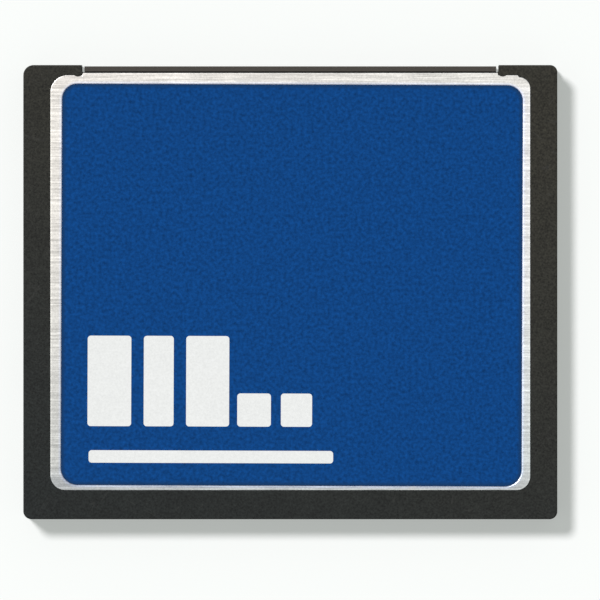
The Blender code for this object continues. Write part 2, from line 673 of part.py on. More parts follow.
def build_circuit_board():
    """Board with notches for the frame's pegs and its small capacitors."""
    laminate = add_material("board_laminate", (0.012, 0.13, 0.045), 0.4)
    outline = rounded_rectangle(
        (-BOARD_HALF_WIDTH, BOARD_REAR), (BOARD_HALF_WIDTH, BOARD_FRONT),
        BOARD_CORNER_RADIUS)
    board = flat_solid(
        "circuit_board", outline, MIDDLE_Z - BOARD_THICKNESS / 2, BOARD_TOP_Z,
        material=laminate)
    for side in (-1, 1):
        cut(board, post(
            f"peg_notch_{side}", (side * WINDOW_HALF_WIDTH, PEG_Y), PEG_RADIUS + PEG_GAP,
            SHELF_Z - RUN_OUT, BOARD_TOP_Z + RUN_OUT))
    front = capacitor("front_capacitors", CRYSTAL_X + CRYSTAL_TO_CAPACITORS, FRONT_ROW_Y)
    repeat(front, FRONT_CAPACITORS, (FRONT_CAPACITOR_PITCH, 0, 0))
    join(board, front)
    middle = capacitor(
        "middle_capacitors", CONTROLLER_RIGHT + CONTROLLER_TO_FLASH / 2,
        CHIP_MIDDLE - (MIDDLE_CAPACITORS - 1) / 2 * MIDDLE_CAPACITOR_PITCH)
    repeat(middle, MIDDLE_CAPACITORS, (0, MIDDLE_CAPACITOR_PITCH, 0))
    join(board, middle)
    return board


def rectangle(half_x, half_y, z):
    return [(half_x, -half_y, z), (half_x, half_y, z), (-half_x, half_y, z), (-half_x, -half_y, z)]


def lead_profile():
    """Side profile of a lead that leaves its package at mid height and stands on the board."""
    top = CHIP_STANDOFF + (CHIP_THICKNESS + LEAD_THICKNESS) / 2
    return [
        (-LEAD_ROOT, top - LEAD_THICKNESS), (LEAD_REACH - LEAD_FOOT, SEAT), (LEAD_REACH, SEAT),
        (LEAD_REACH, SEAT + LEAD_THICKNESS), (LEAD_SHOULDER, top), (-LEAD_ROOT, top)]


def add_leads(chip, half_width, half_depth, bare_corner, pitch, turn):
    """Row of leads along one side of a chip and its copy on the opposite side."""
    count = int(2 * (half_width - bare_corner) / pitch) + 1
    lead = flat_solid(
        f"{chip.name}_leads_{turn}", lead_profile(), -LEAD_WIDTH / 2, LEAD_WIDTH / 2,
        cutter=True)
    lead.data.transform(
        Matrix.Translation((-(count - 1) / 2 * pitch, half_depth, 0)) @ UPRIGHT)
    repeat(lead, count, (pitch, 0, 0))
    mirror = lead.modifiers.new("opposite side", "MIRROR")
    mirror.use_axis = (False, True, False)
    mirror.use_mirror_merge = False
    mirror.merge_threshold = WELD_DISTANCE
    lead.parent = chip
    lead.rotation_euler = (0, 0, math.radians(turn))
    join(chip, lead)


def build_chip(name, centre_x, width, length, underside=False):
    """Moulded package with drafted sides and a dot, standing over the board."""
    resin = add_material(name + "_resin", (0.018, 0.018, 0.020), 0.55)
    half_x, half_y = width / 2, length / 2
    top = CHIP_STANDOFF + CHIP_THICKNESS
    chip = loft(name, [
        rectangle(half_x - CHIP_DRAFT, half_y - CHIP_DRAFT, CHIP_STANDOFF),
        rectangle(half_x, half_y, (CHIP_STANDOFF + top) / 2),
        rectangle(half_x - CHIP_DRAFT, half_y - CHIP_DRAFT, top),
    ], closed_start=True, material=resin)
    if underside:
        chip.rotation_euler = (0, math.pi, 0)
        chip.location = (centre_x, CHIP_MIDDLE, CARD_THICKNESS - BOARD_TOP_Z)
    else:
        chip.location = (centre_x, CHIP_MIDDLE, BOARD_TOP_Z)
    dot = post(
        name + "_dot", (CHIP_DOT_INSET - half_x, half_y - CHIP_DOT_INSET), CHIP_DOT_RADIUS,
        top - CHIP_DOT_DEPTH, top + RUN_OUT)
    dot.parent = chip
    cut(chip, dot)
    return chip


def build_flash_chips():
    """Two equal chips with leads at their ends, one on each side of the board."""
    top = build_chip("flash_chip_top", FLASH_TOP_X, FLASH_WIDTH, FLASH_LENGTH)
    bottom = build_chip(
        "flash_chip_bottom", FLASH_BOTTOM_X, FLASH_WIDTH, FLASH_LENGTH, underside=True)
    for chip in (top, bottom):
        add_leads(
            chip, FLASH_WIDTH / 2, FLASH_LENGTH / 2, FLASH_BARE_CORNER, FLASH_LEAD_PITCH, 0)


def build_controller():
    """Chip with leads on all four sides."""
    width = CONTROLLER_RIGHT - CONTROLLER_LEFT
    chip = build_chip(
        "controller_chip", (CONTROLLER_LEFT + CONTROLLER_RIGHT) / 2, width, CONTROLLER_LENGTH)
    for turn, across, along in ((0, width, CONTROLLER_LENGTH), (90, CONTROLLER_LENGTH, width)):
        add_leads(
            chip, across / 2, along / 2, CONTROLLER_BARE_CORNER, CONTROLLER_LEAD_PITCH, turn)


def build_crystal():
    """Ceramic base with a smaller metal lid."""
    metal = add_material("crystal_case", (0.62, 0.60, 0.56), 0.35, 1.0)
    x, y = CRYSTAL_X, FRONT_ROW_Y
    half_x, half_y = CRYSTAL_SIZE[0] / 2, CRYSTAL_SIZE[1] / 2
    bottom = BOARD_TOP_Z + SEAT
    crystal = box(
        "crystal", (x - half_x, y - half_y, bottom),
        (x + half_x, y + half_y, bottom + CRYSTAL_BASE), material=metal)
    lid_x, lid_y = half_x - CRYSTAL_LID_INSET, half_y - CRYSTAL_LID_INSET
    join(crystal, box(
        "crystal_lid", (x - lid_x, y - lid_y, bottom + CRYSTAL_BASE / 2),
        (x + lid_x, y + lid_y, bottom + CRYSTAL_SIZE[2]), cutter=True))
    return crystal


build_frame()
cover_steel = add_material("cover_steel", (0.78, 0.77, 0.75), 0.3, 1.0)
top_cover = build_top_cover(cover_steel)
build_bottom_cover(top_cover)
build_label()
build_connector_housing()
build_contacts()
build_circuit_board()
build_flash_chips()
build_controller()
build_crystal()
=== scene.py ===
# A slim memory card lying flat, label up, with its socket edge away from the viewer.
# Metres throughout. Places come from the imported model, so each piece sits where its solid does.
import math

import bmesh
import bpy
from mathutils import Matrix, Vector


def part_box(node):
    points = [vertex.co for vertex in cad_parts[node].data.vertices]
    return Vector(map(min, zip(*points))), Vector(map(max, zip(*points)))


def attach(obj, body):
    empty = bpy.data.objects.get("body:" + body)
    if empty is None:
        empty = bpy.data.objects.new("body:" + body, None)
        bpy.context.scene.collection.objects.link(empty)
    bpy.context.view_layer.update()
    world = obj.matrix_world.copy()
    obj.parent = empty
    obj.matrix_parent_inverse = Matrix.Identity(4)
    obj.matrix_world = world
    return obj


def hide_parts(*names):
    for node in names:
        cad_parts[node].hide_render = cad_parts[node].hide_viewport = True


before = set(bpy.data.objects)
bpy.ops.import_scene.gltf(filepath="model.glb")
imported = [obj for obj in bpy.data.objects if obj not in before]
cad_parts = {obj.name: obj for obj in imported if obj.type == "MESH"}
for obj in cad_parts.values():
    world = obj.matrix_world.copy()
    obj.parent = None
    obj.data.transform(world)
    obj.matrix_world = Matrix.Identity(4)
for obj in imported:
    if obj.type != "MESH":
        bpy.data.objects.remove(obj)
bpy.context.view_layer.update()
mm = 0.001

frameLow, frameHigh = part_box("frame")
coverLow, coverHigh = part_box("top_cover")
filmLow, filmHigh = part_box("front_label")
housingLow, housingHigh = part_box("connector_housing")
boardLow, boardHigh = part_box("circuit_board")
cardTop = coverHigh.z
middleZ = cardTop / 2
print("card loaded:", len(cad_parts), "solids,", round(cardTop / mm, 2), "mm thick")

# sizes that several pieces share
shared = {
    "sheet": 0.2 * mm,          # stamped steel
    "fit": 0.03 * mm,
    "seat": 0.02 * mm,          # between faces that rest on one another
    "blockWidth": 4.68 * mm,    # side of the card to the mouth between the front blocks
    "blockFace": 0.785 * mm,    # what shows of a block in front of the cover
    "blockLength": 1.2 * mm,
    "noseGap": 0.22 * mm,
    "nubHalf": (0.38 * mm, 0.28 * mm),      # lobe on each block's inner rear corner
    "nubFromMouth": 0.30 * mm,  # its middle, out from the mouth
    "nubInside": 0.17 * mm,     # and ahead of the block's rear edge
    "ledge": 1.3 * mm,
    "pegFromRear": 8.5 * mm,    # pegs that locate the board
    "past": 1.0 * mm,           # how far a cut runs past the face it opens
    "recessDepth": 0.2 * mm,
    "labelCorners": (1.25 * mm, 1.22 * mm, 1.35 * mm, 1.35 * mm),
    "labelTurn": -0.2,          # degrees, the label is stuck on slightly askew
    "rimLeft": 0.90 * mm,       # steel that shows on each side of the label
    "rimRight": 0.66 * mm,
    "rimFront": 0.94 * mm,
    "rimRear": 0.37 * mm,
}
mouthHalf = frameHigh.x - shared["blockWidth"]
noseHalf = mouthHalf - shared["noseGap"]
blockRear = frameHigh.y - shared["blockLength"]
coverCornerFront = frameHigh.y - shared["blockFace"] - shared["fit"]
nubPlace = (
    mouthHalf + shared["nubFromMouth"], frameHigh.y - shared["blockFace"] + shared["nubInside"])
recessFloor = cardTop - shared["recessDepth"]
ledgeTop = recessFloor - shared["sheet"] - shared["seat"]
labelLow = (coverLow.x + shared["rimLeft"], coverLow.y + shared["rimRear"])
labelHigh = (coverHigh.x - shared["rimRight"], coverHigh.y - shared["rimFront"])
labelMiddle = Vector(((labelLow[0] + labelHigh[0]) / 2, (labelLow[1] + labelHigh[1]) / 2, 0))
turnedLabel = (
    Matrix.Translation(labelMiddle) @ Matrix.Rotation(math.radians(shared["labelTurn"]), 4, "Z")
    @ Matrix.Translation(-labelMiddle))
windowHalf = coverHigh.x - shared["ledge"]
windowRear = coverLow.y + shared["ledge"]
pegY = windowRear + shared["pegFromRear"]


def placed(name, data):
    holder = bpy.data.objects.new(name, data)
    bpy.context.scene.collection.objects.link(holder)
    return holder


# nodes and their links

class Flow:
    # what a node puts out, which can be reckoned with like a number
    def __init__(self, tree, socket):
        self.tree, self.socket = tree, socket

    def __add__(self, other):
        return maths("ADD", self, other)

    def __sub__(self, other):
        return maths("SUBTRACT", self, other)

    def __rsub__(self, other):
        return maths("SUBTRACT", other, self)

    def __mul__(self, other):
        return maths("MULTIPLY", self, other)

    def __truediv__(self, other):
        return maths("DIVIDE", self, other)

    def __rtruediv__(self, other):
        return maths("DIVIDE", other, self)


def feed(value, target):
    # a flow is linked, a number or a colour is written in
    if isinstance(value, Flow):
        value.tree.links.new(value.socket, target)
    else:
        target.default_value = value


def addNode(tree, kind, settings=None, **inputs):
    # inputs go by name, with _ where the name has a space
    node = tree.nodes.new("ShaderNode" + kind)
    for label, value in (settings or {}).items():
        setattr(node, label, value)
    for label, value in inputs.items():
        feed(value, node.inputs[label.replace("_", " ")])
    return {socket.name: Flow(tree, socket) for socket in node.outputs}


def reckon(kind, settings, *values):
    # a node whose inputs are filled in order, in the tree that the values come from
    tree = next(value.tree for value in values if isinstance(value, Flow))
    node = tree.nodes.new("ShaderNode" + kind)
    for label, value in settings.items():
        setattr(node, label, value)
    for value, target in zip(values, [socket for socket in node.inputs if socket.enabled]):
        feed(value, target)
    return Flow(tree, next(socket for socket in node.outputs if socket.enabled))


def maths(operation, *values):
    return reckon("Math", {"operation": operation}, *values)


def vectorMaths(operation, *values):
    return reckon("VectorMath", {"operation": operation}, *values)


def mixedOut(share, first, second, outputKind):
    mixed = reckon("MixShader", {}, share, first, second)
    addNode(mixed.tree, outputKind, Surface=mixed)


def emptyTree(owner):
    owner.use_nodes = True
    owner.node_tree.nodes.clear()
    return owner.node_tree


# camera, light and floor
shot = {
    "height": 900 * mm,         # camera above the floor
    "fieldWidth": 48.08 * mm,   # what the picture spans at the top of the card
    "aim": (0.777 * mm, -0.63 * mm),
    "sensor": 36.0,
    "clipping": (0.01, 10),
    "sunStrength": 2.86,
    "sunSoftness": 12.0,        # degrees, sets how soft the shadow's edge is
    "sunPath": (1.5, -1.5, -3.3),
    "skyStrength": 0.235,
    "skyColour": (0.90, 0.97, 0.91),
    "floorColour": (0.999, 0.993, 0.999),
    "floorGlow": 0.37,          # share of the floor that the camera sees as plain white
    "glowColour": (0.955, 1.0, 0.965),
    "floorSize": 1.2,
}


def makeCamera():
    camera = bpy.data.cameras.new("camera")
    camera.sensor_width = shot["sensor"]
    camera.lens = shot["sensor"] * (shot["height"] - cardTop) / shot["fieldWidth"]
    camera.clip_start, camera.clip_end = shot["clipping"]
    holder = placed("camera", camera)
    holder.location = (*shot["aim"], shot["height"])
    bpy.context.scene.camera = holder


def makeLight():
    sun = bpy.data.lights.new("key", "SUN")
    sun.energy = shot["sunStrength"]
    sun.angle = math.radians(shot["sunSoftness"])
    lamp = placed("key", sun)
    lamp.rotation_euler = Vector(shot["sunPath"]).to_track_quat("-Z", "Y").to_euler()

    # soft sky for diffuse light, plain white wherever the camera or a reflection looks
    world = bpy.data.worlds.new("studio")
    bpy.context.scene.world = world
    tree = emptyTree(world)
    path = addNode(tree, "LightPath")
    seen = maths("MAXIMUM", path["Is Camera Ray"], path["Is Glossy Ray"])
    seen = maths("MAXIMUM", seen, path["Is Transmission Ray"])
    sky = addNode(tree, "Background", Color=(*shot["skyColour"], 1), Strength=shot["skyStrength"])
    white = addNode(tree, "Background", Color=(1, 1, 1, 1), Strength=1)
    mixedOut(seen, sky["Background"], white["Background"], "OutputWorld")
    bpy.context.scene.view_settings.view_transform = "Standard"


def makeFloor():
    half = shot["floorSize"] / 2
    sheet = bmesh.new()
    corners = [(-half, -half), (half, -half), (half, half), (-half, half)]
    sheet.faces.new([sheet.verts.new((x, y, 0)) for x, y in corners])
    mesh = bpy.data.meshes.new("floor")
    sheet.to_mesh(mesh)
    sheet.free()
    material = bpy.data.materials.new("paleFloor")
    tree = emptyTree(material)
    diffuse = addNode(tree, "BsdfDiffuse", Color=(*shot["floorColour"], 1))
    glow = addNode(tree, "Emission", Color=(*shot["glowColour"], 1))
    share = addNode(tree, "LightPath")["Is Camera Ray"] * shot["floorGlow"]
    mixedOut(share, diffuse["BSDF"], glow["Emission"], "OutputMaterial")
    mesh.materials.append(material)
    floor = placed("floor", mesh)


makeCamera()
makeLight()
makeFloor()
print("camera, light and floor ready")


# effects that several finishes share

def startGroup(name, inputs, outputs):
    group = bpy.data.node_groups.new(name, "ShaderNodeTree")
    for label, value in inputs.items():
        socket = group.interface.new_socket(label, in_out="INPUT", socket_type="NodeSocketFloat")
        socket.default_value = value
    for label in outputs:
        group.interface.new_socket(label, in_out="OUTPUT", socket_type="NodeSocketFloat")
    start = {one.name: Flow(group, one) for one in group.nodes.new("NodeGroupInput").outputs}
    return group, start, group.nodes.new("NodeGroupOutput").inputs


def placeInMillimetres(tree):
    return vectorMaths("SCALE", addNode(tree, "TexCoord")["Object"], 1 / mm)


def axesOf(vector):
    return addNode(vector.tree, "SeparateXYZ", Vector=vector).values()


def turnedRound(vector, angle):
    return addNode(
        vector.tree, "VectorRotate", {"rotation_type": "Z_AXIS"}, Vector=vector, Angle=angle)["Vector"]


def noiseOf(vector, scale, detail, roughness=0.5):
    return reckon("TexNoise", {}, vector, scale, detail, roughness)


def ramped(value, first, last):
    # 0 to 1 between two limits, eased at both ends
    return reckon("MapRange", {"interpolation_type": "SMOOTHSTEP"}, value, first, last)


def makeGrainGroup():
    # fine speckle of a moulded or printed face: Tone is a multiplier round 1
    look = {"detail": 3.0, "roughness": 0.6, "cloudScale": 0.35, "cloudDetail": 2.0, "gain": 4.0}
    group, start, end = startGroup(
        "fineGrain", {"Grain Size": 0.2, "Contrast": 0.1, "Clouding": 0.02}, ("Tone", "Height"))
    place = placeInMillimetres(group)
    speckle = noiseOf(place, 1.0 / start["Grain Size"], look["detail"], look["roughness"])
    cloud = noiseOf(place, look["cloudScale"], look["cloudDetail"])
    swing = (speckle - 0.5) * start["Contrast"] + (cloud - 0.5) * start["Clouding"]
    feed(swing * look["gain"] + 1.0, end["Tone"])
    feed(speckle, end["Height"])
    return group


def makeBrushGroup():
    # lines of a brushed face, drawn out along the card's width
    look = {"courses": ((1.0, 3.0), (3.1, 2.0)),    # how much finer, and the noise's detail
            "roughness": 0.6, "gain": 4.0}
    group, start, end = startGroup(
        "brushedLines", {"Line Length": 6.0, "Line Spacing": 0.1, "Contrast": 0.1}, ("Tone", "Height"))
    x, y, z = axesOf(placeInMillimetres(group))
    courses = []
    for finer, detail in look["courses"]:
        spacing = start["Line Spacing"] / finer
        drawn = reckon("CombineXYZ", {}, x / start["Line Length"], y / spacing, z / spacing)
        courses.append(noiseOf(drawn, 1.0, detail, look["roughness"]))
    height = (courses[0] + courses[1]) * 0.5
    feed((height - 0.5) * start["Contrast"] * look["gain"] + 1.0, end["Tone"])
    feed(height, end["Height"])
    return group


def makeWearGroup():
    # 1 on rounded edges, 0 on open faces, broken up so that it isn't even
    look = {"samples": 6, "gain": 5.0, "patchScale": 1.3, "patchDetail": 3.0}
    group, start, end = startGroup(
        "wornEdges", {"Reach": 0.1, "Amount": 1.0, "Patchiness": 0.5}, ("Mask",))
    rounded = addNode(group, "Bevel", {"samples": look["samples"]}, Radius=start["Reach"] * mm)["Normal"]
    alike = vectorMaths("DOT_PRODUCT", rounded, addNode(group, "NewGeometry")["Normal"])
    patches = noiseOf(placeInMillimetres(group), look["patchScale"], look["patchDetail"])
    kept = 1.0 - patches * start["Patchiness"]
    mask = (1.0 - alike) * look["gain"] * kept * start["Amount"]
    feed(maths("MINIMUM", maths("MAXIMUM", mask, 0.0), 1.0), end["Mask"])
    return group


def makeScuffGroup():
    # sparse hairline marks in two directions
    look = {"turns": (0.4, 2.1), "stretch": (0.12, 1.6, 1.6), "cells": 3.0, "width": 0.012,
            "fadeScale": 0.5, "fadeFrom": 0.56}
    group, start, end = startGroup("hairMarks", {"Spacing": 3.0, "Amount": 0.5}, ("Mask",))
    place = placeInMillimetres(group)
    marks = []
    for turn in look["turns"]:
        cells = addNode(
            group, "TexVoronoi", {"feature": "DISTANCE_TO_EDGE"}, Scale=look["cells"] / start["Spacing"],
            Vector=vectorMaths("MULTIPLY", turnedRound(place, turn), look["stretch"]))
        cloud = noiseOf(place, look["fadeScale"] + turn / 4, 1.0)
        shown = maths("GREATER_THAN", cloud, look["fadeFrom"])
        marks.append(maths("LESS_THAN", cells["Distance"], look["width"]) * shown)
    feed(maths("MAXIMUM", *marks) * start["Amount"], end["Mask"])
    return group


def makeDriftGroup():
    # slow change from one end of the card to the other, along a slanted line
    group, start, end = startGroup(
        "broadDrift", {"Across": 0.0, "Along": 1.0, "From": 0.0, "To": 10.0}, ("Mask",))
    x, y, _ = axesOf(placeInMillimetres(group))
    place = x * start["Across"] + y * start["Along"]
    feed(ramped(place, start["From"], start["To"]), end["Mask"])
    return group


def makeBendGroup():
    # 1 where the sheet turns away from the flat, 0 on its flat faces
    group, start, end = startGroup("turnedFaces", {"From": 0.02, "To": 0.2}, ("Mask",))
    _, _, upward = axesOf(addNode(group, "TexCoord")["Normal"])
    feed(ramped(1.0 - maths("ABSOLUTE", upward), start["From"], start["To"]), end["Mask"])
    return group


def makeOutlineGroup():
    # millimetres past the edge of a rounded rectangle, negative inside it
    group, start, end = startGroup(
        "pastOutline", {"Middle X": 0.0, "Middle Y": 0.0, "Half Width": 10.0, "Half Length": 10.0,
                        "Corner": 1.0, "Turn": 0.0}, ("Distance",))
    middle = reckon("CombineXYZ", {}, start["Middle X"], start["Middle Y"])
    moved = vectorMaths("SUBTRACT", placeInMillimetres(group), middle)
    x, y, _ = axesOf(turnedRound(moved, start["Turn"] * -1.0))
    sides = [maths("ABSOLUTE", place) - (start[half] - start["Corner"])
             for place, half in ((x, "Half Width"), (y, "Half Length"))]
    squares = [maths("POWER", maths("MAXIMUM", side, 0.0), 2.0) for side in sides]
    outside = maths("SQRT", squares[0] + squares[1])
    inside = maths("MINIMUM", maths("MAXIMUM", *sides), 0.0)
    feed(outside + inside - start["Corner"], end["Distance"])
    return group


fineGrain = makeGrainGroup()
turnedFaces = makeBendGroup()
broadDrift = makeDriftGroup()
brushedLines = makeBrushGroup()
wornEdges = makeWearGroup()
hairMarks = makeScuffGroup()
pastOutline = makeOutlineGroup()
print("shared effects ready")


# finishes

def startFinish(name, colour, roughness, metallic=0.0, specular=0.5):
    material = bpy.data.materials.new(name)
    material.use_nodes = True
    ends = material.node_tree.nodes["Principled BSDF"].inputs
    feed((*colour, 1), ends["Base Color"])
    feed(roughness, ends["Roughness"])
    feed(metallic, ends["Metallic"])
    feed(specular, ends["Specular IOR Level"])
    return material, material.node_tree, ends


def useGroup(tree, group, **values):
    return addNode(tree, "Group", {"node_tree": group}, **values)


def grained(tree, size, contrast, clouding):
    return useGroup(tree, fineGrain, Grain_Size=size, Contrast=contrast, Clouding=clouding)


def tinted(colour, tone):
    # a colour made lighter or darker by a multiplier
    return vectorMaths("SCALE", colour, tone)


def blended(mask, *colours):
    colours = [colour if isinstance(colour, Flow) else (*colour, 1) for colour in colours]
    return reckon("Mix", {"data_type": "RGBA"}, mask, *colours)


def stained(mask, colour, tint):
    # a colour times a tint, where the mask says so
    return blended(mask, colour, vectorMaths("MULTIPLY", colour, tint))


def bumped(ends, height, distance, strength=1.0):
    bump = addNode(height.tree, "Bump", Height=height, Distance=distance, Strength=strength)
    feed(bump["Normal"], ends["Normal"])


def followGrain(ends, grain, look):
    # roughness and relief that go with the grain
    if "roughSwing" in look:
        feed((grain["Height"] - 0.5) * look["roughSwing"] + look["roughness"], ends["Roughness"])
    else:
        feed(grain["Tone"] * look["roughness"], ends["Roughness"])
    if look["grainDepth"]:
        bumped(ends, grain["Height"], look["grainDepth"])


def fromOutline(tree, low, high, corner, turn=0.0):
    # how far past a rounded rectangle's edge a point lies, in millimetres
    return useGroup(
        tree, pastOutline, Middle_X=(low[0] + high[0]) / 2 / mm, Middle_Y=(low[1] + high[1]) / 2 / mm,
        Half_Width=(high[0] - low[0]) / 2 / mm, Half_Length=(high[1] - low[1]) / 2 / mm,
        Corner=corner, Turn=turn)["Distance"]


def fromLabel(tree, corner):
    return fromOutline(tree, labelLow, labelHigh, corner, math.radians(shared["labelTurn"]))


def makeMouldedBlack():
    look = {"colour": (0.0125, 0.0145, 0.0142), "faded": (0.0240, 0.0226, 0.0175),
            "worn": (0.05, 0.05, 0.047), "roughness": 0.55, "roughSwing": 0.16,
            "grain": (0.15, 0.9, 0.1), "grainDepth": 0.004 * mm}
    material, tree, ends = startFinish("mouldedBlack", look["colour"], look["roughness"], specular=0.12)
    grain = grained(tree, *look["grain"])
    fade = useGroup(tree, broadDrift, Across=0.4, Along=1.0, From=-25.0, To=25.0)["Mask"]
    wear = useGroup(tree, wornEdges, Reach=0.09, Amount=0.5, Patchiness=0.8)["Mask"]
    marks = useGroup(tree, hairMarks, Spacing=4.0, Amount=0.25)["Mask"]
    plain = tinted(blended(fade, look["colour"], look["faded"]), grain["Tone"])
    feed(blended(maths("MAXIMUM", wear, marks), plain, look["worn"]), ends["Base Color"])
    followGrain(ends, grain, look)
    return material


def makeBrushedSteel(name, besideLabel):
    # painted reflection: the sheet's tone changes slowly from corner to corner, darker towards the rear,
    # left and right values in pairs
    look = {"front": ((0.62, 0.590, 0.552), (0.615, 0.603, 0.570)),
            "middle": ((0.635, 0.610, 0.570), (0.662, 0.657, 0.652)),
            "paintedDimReflection": ((0.468, 0.473, 0.454), (0.515, 0.550, 0.547)),
            "rearLip": ((0.365, 0.380, 0.385), (0.410, 0.430, 0.430)),
            "paintedEdgeHighlight": (1.21, 1.20, 1.17), "bent": (0.76, 0.80, 0.85), "paintedBlueHighlight": (1.02, 1.07, 1.24),
            "reach": 0.18, "coverCorner": 1.15, "labelCorner": 1.3, "scratch": (0.5, 0.495, 0.48),
            "cloud": (0.12, 0.2, 0.05), "roughness": 0.3, "bendRoughness": 0.7,
            "lineDepth": 0.0015 * mm}
    # where each of those painted reflection tones begins and ends: towards the front or the rear, in
    # millimetres
    fades = {"front": (1.0, 15.8, 16.8), "paintedDimReflection": (-1.0, -12.0, 18.0), "rearLip": (-1.0, 13.6, 15.4)}
    material, tree, ends = startFinish(name, look["middle"][0], look["roughness"], metallic=1.0)
    lines = useGroup(tree, brushedLines, Line_Length=4.0, Line_Spacing=0.17, Contrast=0.3)
    cloud = grained(tree, *look["cloud"])["Tone"]
    marks = useGroup(tree, hairMarks, Spacing=6.0, Amount=0.4)["Mask"]
    bent = useGroup(tree, turnedFaces, From=0.02, To=0.2)["Mask"]
    sideways = useGroup(tree, broadDrift, Across=1.0, Along=0.0, From=-21.0, To=21.0)["Mask"]
    steel = blended(sideways, *look["middle"])
    for place, (along, first, last) in fades.items():
        drift = useGroup(tree, broadDrift, Across=0.0, Along=along, From=first, To=last)["Mask"]
        steel = blended(drift, steel, blended(sideways, *look[place]))
    # painted shade: where the sheet bends, its colour is darkened to dim the glint there
    steel = stained(bent, steel, look["bent"])
    # painted highlight: a narrow band along the sheared edge is made lighter
    reach = look["reach"]
    fromEdge = fromOutline(
        tree, coverLow, (coverHigh.x, coverHigh.y + shared["past"]), look["coverCorner"])
    steel = stained(ramped(fromEdge, -reach, 0.0), steel, look["paintedEdgeHighlight"])
    if besideLabel:
        # painted highlight: the steel beside the label is made lighter and bluer
        besideLabelHighlight = ramped(fromLabel(tree, look["labelCorner"]), 1.5 * reach, 0.5 * reach)
        steel = stained(besideLabelHighlight, steel, look["paintedBlueHighlight"])
    feed(blended(marks, tinted(steel, lines["Tone"] * cloud), look["scratch"]), ends["Base Color"])
    rougher = bent * (look["bendRoughness"] - look["roughness"])
    feed(lines["Tone"] * look["roughness"] + rougher, ends["Roughness"])
    bumped(ends, lines["Height"], look["lineDepth"])
    return material


# one colour with its grain, and, where a row gives them, a painted shade along the label's edge or worn
# edges
grainedLooks = {
    "blueFilm": {
        "colour": (0.0042, 0.0565, 0.225), "roughness": 0.58, "specular": 0.03,
        "grain": (0.27, 0.40, 0.012), "grainDepth": 0.0015 * mm, "roughSwing": 0.16,
        # painted shade along the label's edge, beside the recess wall
        "rim": (0.0085, 0.0415, 0.126), "rimReach": 0.42, "rimCorner": 1.3},
    "socketPlastic": {
        "colour": (0.050, 0.043, 0.037), "roughness": 0.45, "specular": 0.2, "grain": (0.1, 0.1, 0.04),
        "grainDepth": 0.002 * mm, "worn": (0.10, 0.09, 0.08)},
    "whiteInk": {
        "colour": (0.86, 0.86, 0.86), "roughness": 0.4, "specular": 0.08, "grain": (0.15, 0.07, 0.01),
        "grainDepth": 0},
    "capacitorTan": {
        "colour": (0.30, 0.19, 0.105), "roughness": 0.5, "specular": 0.4, "grain": (0.05, 0.12, 0.04),
        "grainDepth": 0.003 * mm},
    "crystalCeramic": {
        "colour": (0.075, 0.062, 0.055), "roughness": 0.6, "specular": 0.4, "grain": (0.05, 0.12, 0.04),
        "grainDepth": 0.003 * mm},
    "chipResin": {
        "colour": (0.017, 0.017, 0.019), "roughness": 0.6, "specular": 0.3, "grain": (0.06, 0.15, 0.04),
        "grainDepth": 0.005 * mm},
}


def makeGrained(name):
    look = grainedLooks[name]
    material, tree, ends = startFinish(
        name, look["colour"], look["roughness"], specular=look["specular"])
    grain = grained(tree, *look["grain"])
    colour = tinted(look["colour"], grain["Tone"])
    if "rim" in look:
        # painted shade: the label darkens towards its edge, beside the recess wall
        rim = ramped(fromLabel(tree, look["rimCorner"]), -look["rimReach"], 0.0)
        colour = blended(rim, colour, look["rim"])
    if "worn" in look:
        wear = useGroup(tree, wornEdges, Reach=0.05, Amount=0.6, Patchiness=0.6)["Mask"]
        colour = blended(wear, colour, look["worn"])
    feed(colour, ends["Base Color"])
    followGrain(ends, grain, look)
    return material


def makeMetal(name, colour, roughness, spacing, contrast):
    look = {"lineLength": 2.0, "cloud": (0.3, 0.05, 0.05)}
    material, tree, ends = startFinish(name, colour, roughness, metallic=1.0)
    lines = useGroup(
        tree, brushedLines, Line_Length=look["lineLength"], Line_Spacing=spacing, Contrast=contrast)
    tone = lines["Tone"] * grained(tree, *look["cloud"])["Tone"]
    feed(tinted(colour, tone), ends["Base Color"])
    feed(tone * roughness, ends["Roughness"])
    return material


def makeBoardGreen():
    look = {"resist": (0.010, 0.105, 0.036), "overCopper": (0.018, 0.17, 0.06),
            "hole": (0.004, 0.03, 0.012), "roughness": 0.32, "grain": (0.2, 0.05, 0.03),
            "patchScale": 0.33, "tracePitch": 0.5, "traceShare": 0.45, "holeScale": 0.7,
            "ringReach": 0.2, "holeReach": 0.09, "copperHeight": 0.01 * mm, "copperShows": 0.5}
    material, tree, ends = startFinish("boardGreen", look["resist"], look["roughness"], specular=0.35)
    place = placeInMillimetres(tree)
    # patches of parallel traces, each patch turned by a multiple of 45 degrees
    patches = addNode(
        tree, "TexVoronoi", {"distance": "CHEBYCHEV"}, Vector=place, Scale=look["patchScale"])
    eighths = maths("FLOOR", reckon("SeparateColor", {}, patches["Color"]) * 4.0)
    half = look["tracePitch"] / 2
    x, _, _ = axesOf(turnedRound(place, eighths * (math.pi / 4)))
    traces = maths("LESS_THAN", maths("PINGPONG", x, half), half * look["traceShare"])
    dots = addNode(tree, "TexVoronoi", Vector=place, Scale=look["holeScale"])
    fromDot = dots["Distance"] / look["holeScale"]
    copper = maths("MAXIMUM", traces, maths("LESS_THAN", fromDot, look["ringReach"]))
    hole = maths("LESS_THAN", fromDot, look["holeReach"])
    grain = grained(tree, *look["grain"])["Tone"]
    coat = tinted(blended(copper, look["resist"], look["overCopper"]), grain)
    feed(blended(hole, coat, look["hole"]), ends["Base Color"])
    feed(grain * look["roughness"], ends["Roughness"])
    bumped(ends, copper - hole, look["copperHeight"], look["copperShows"])
    return material


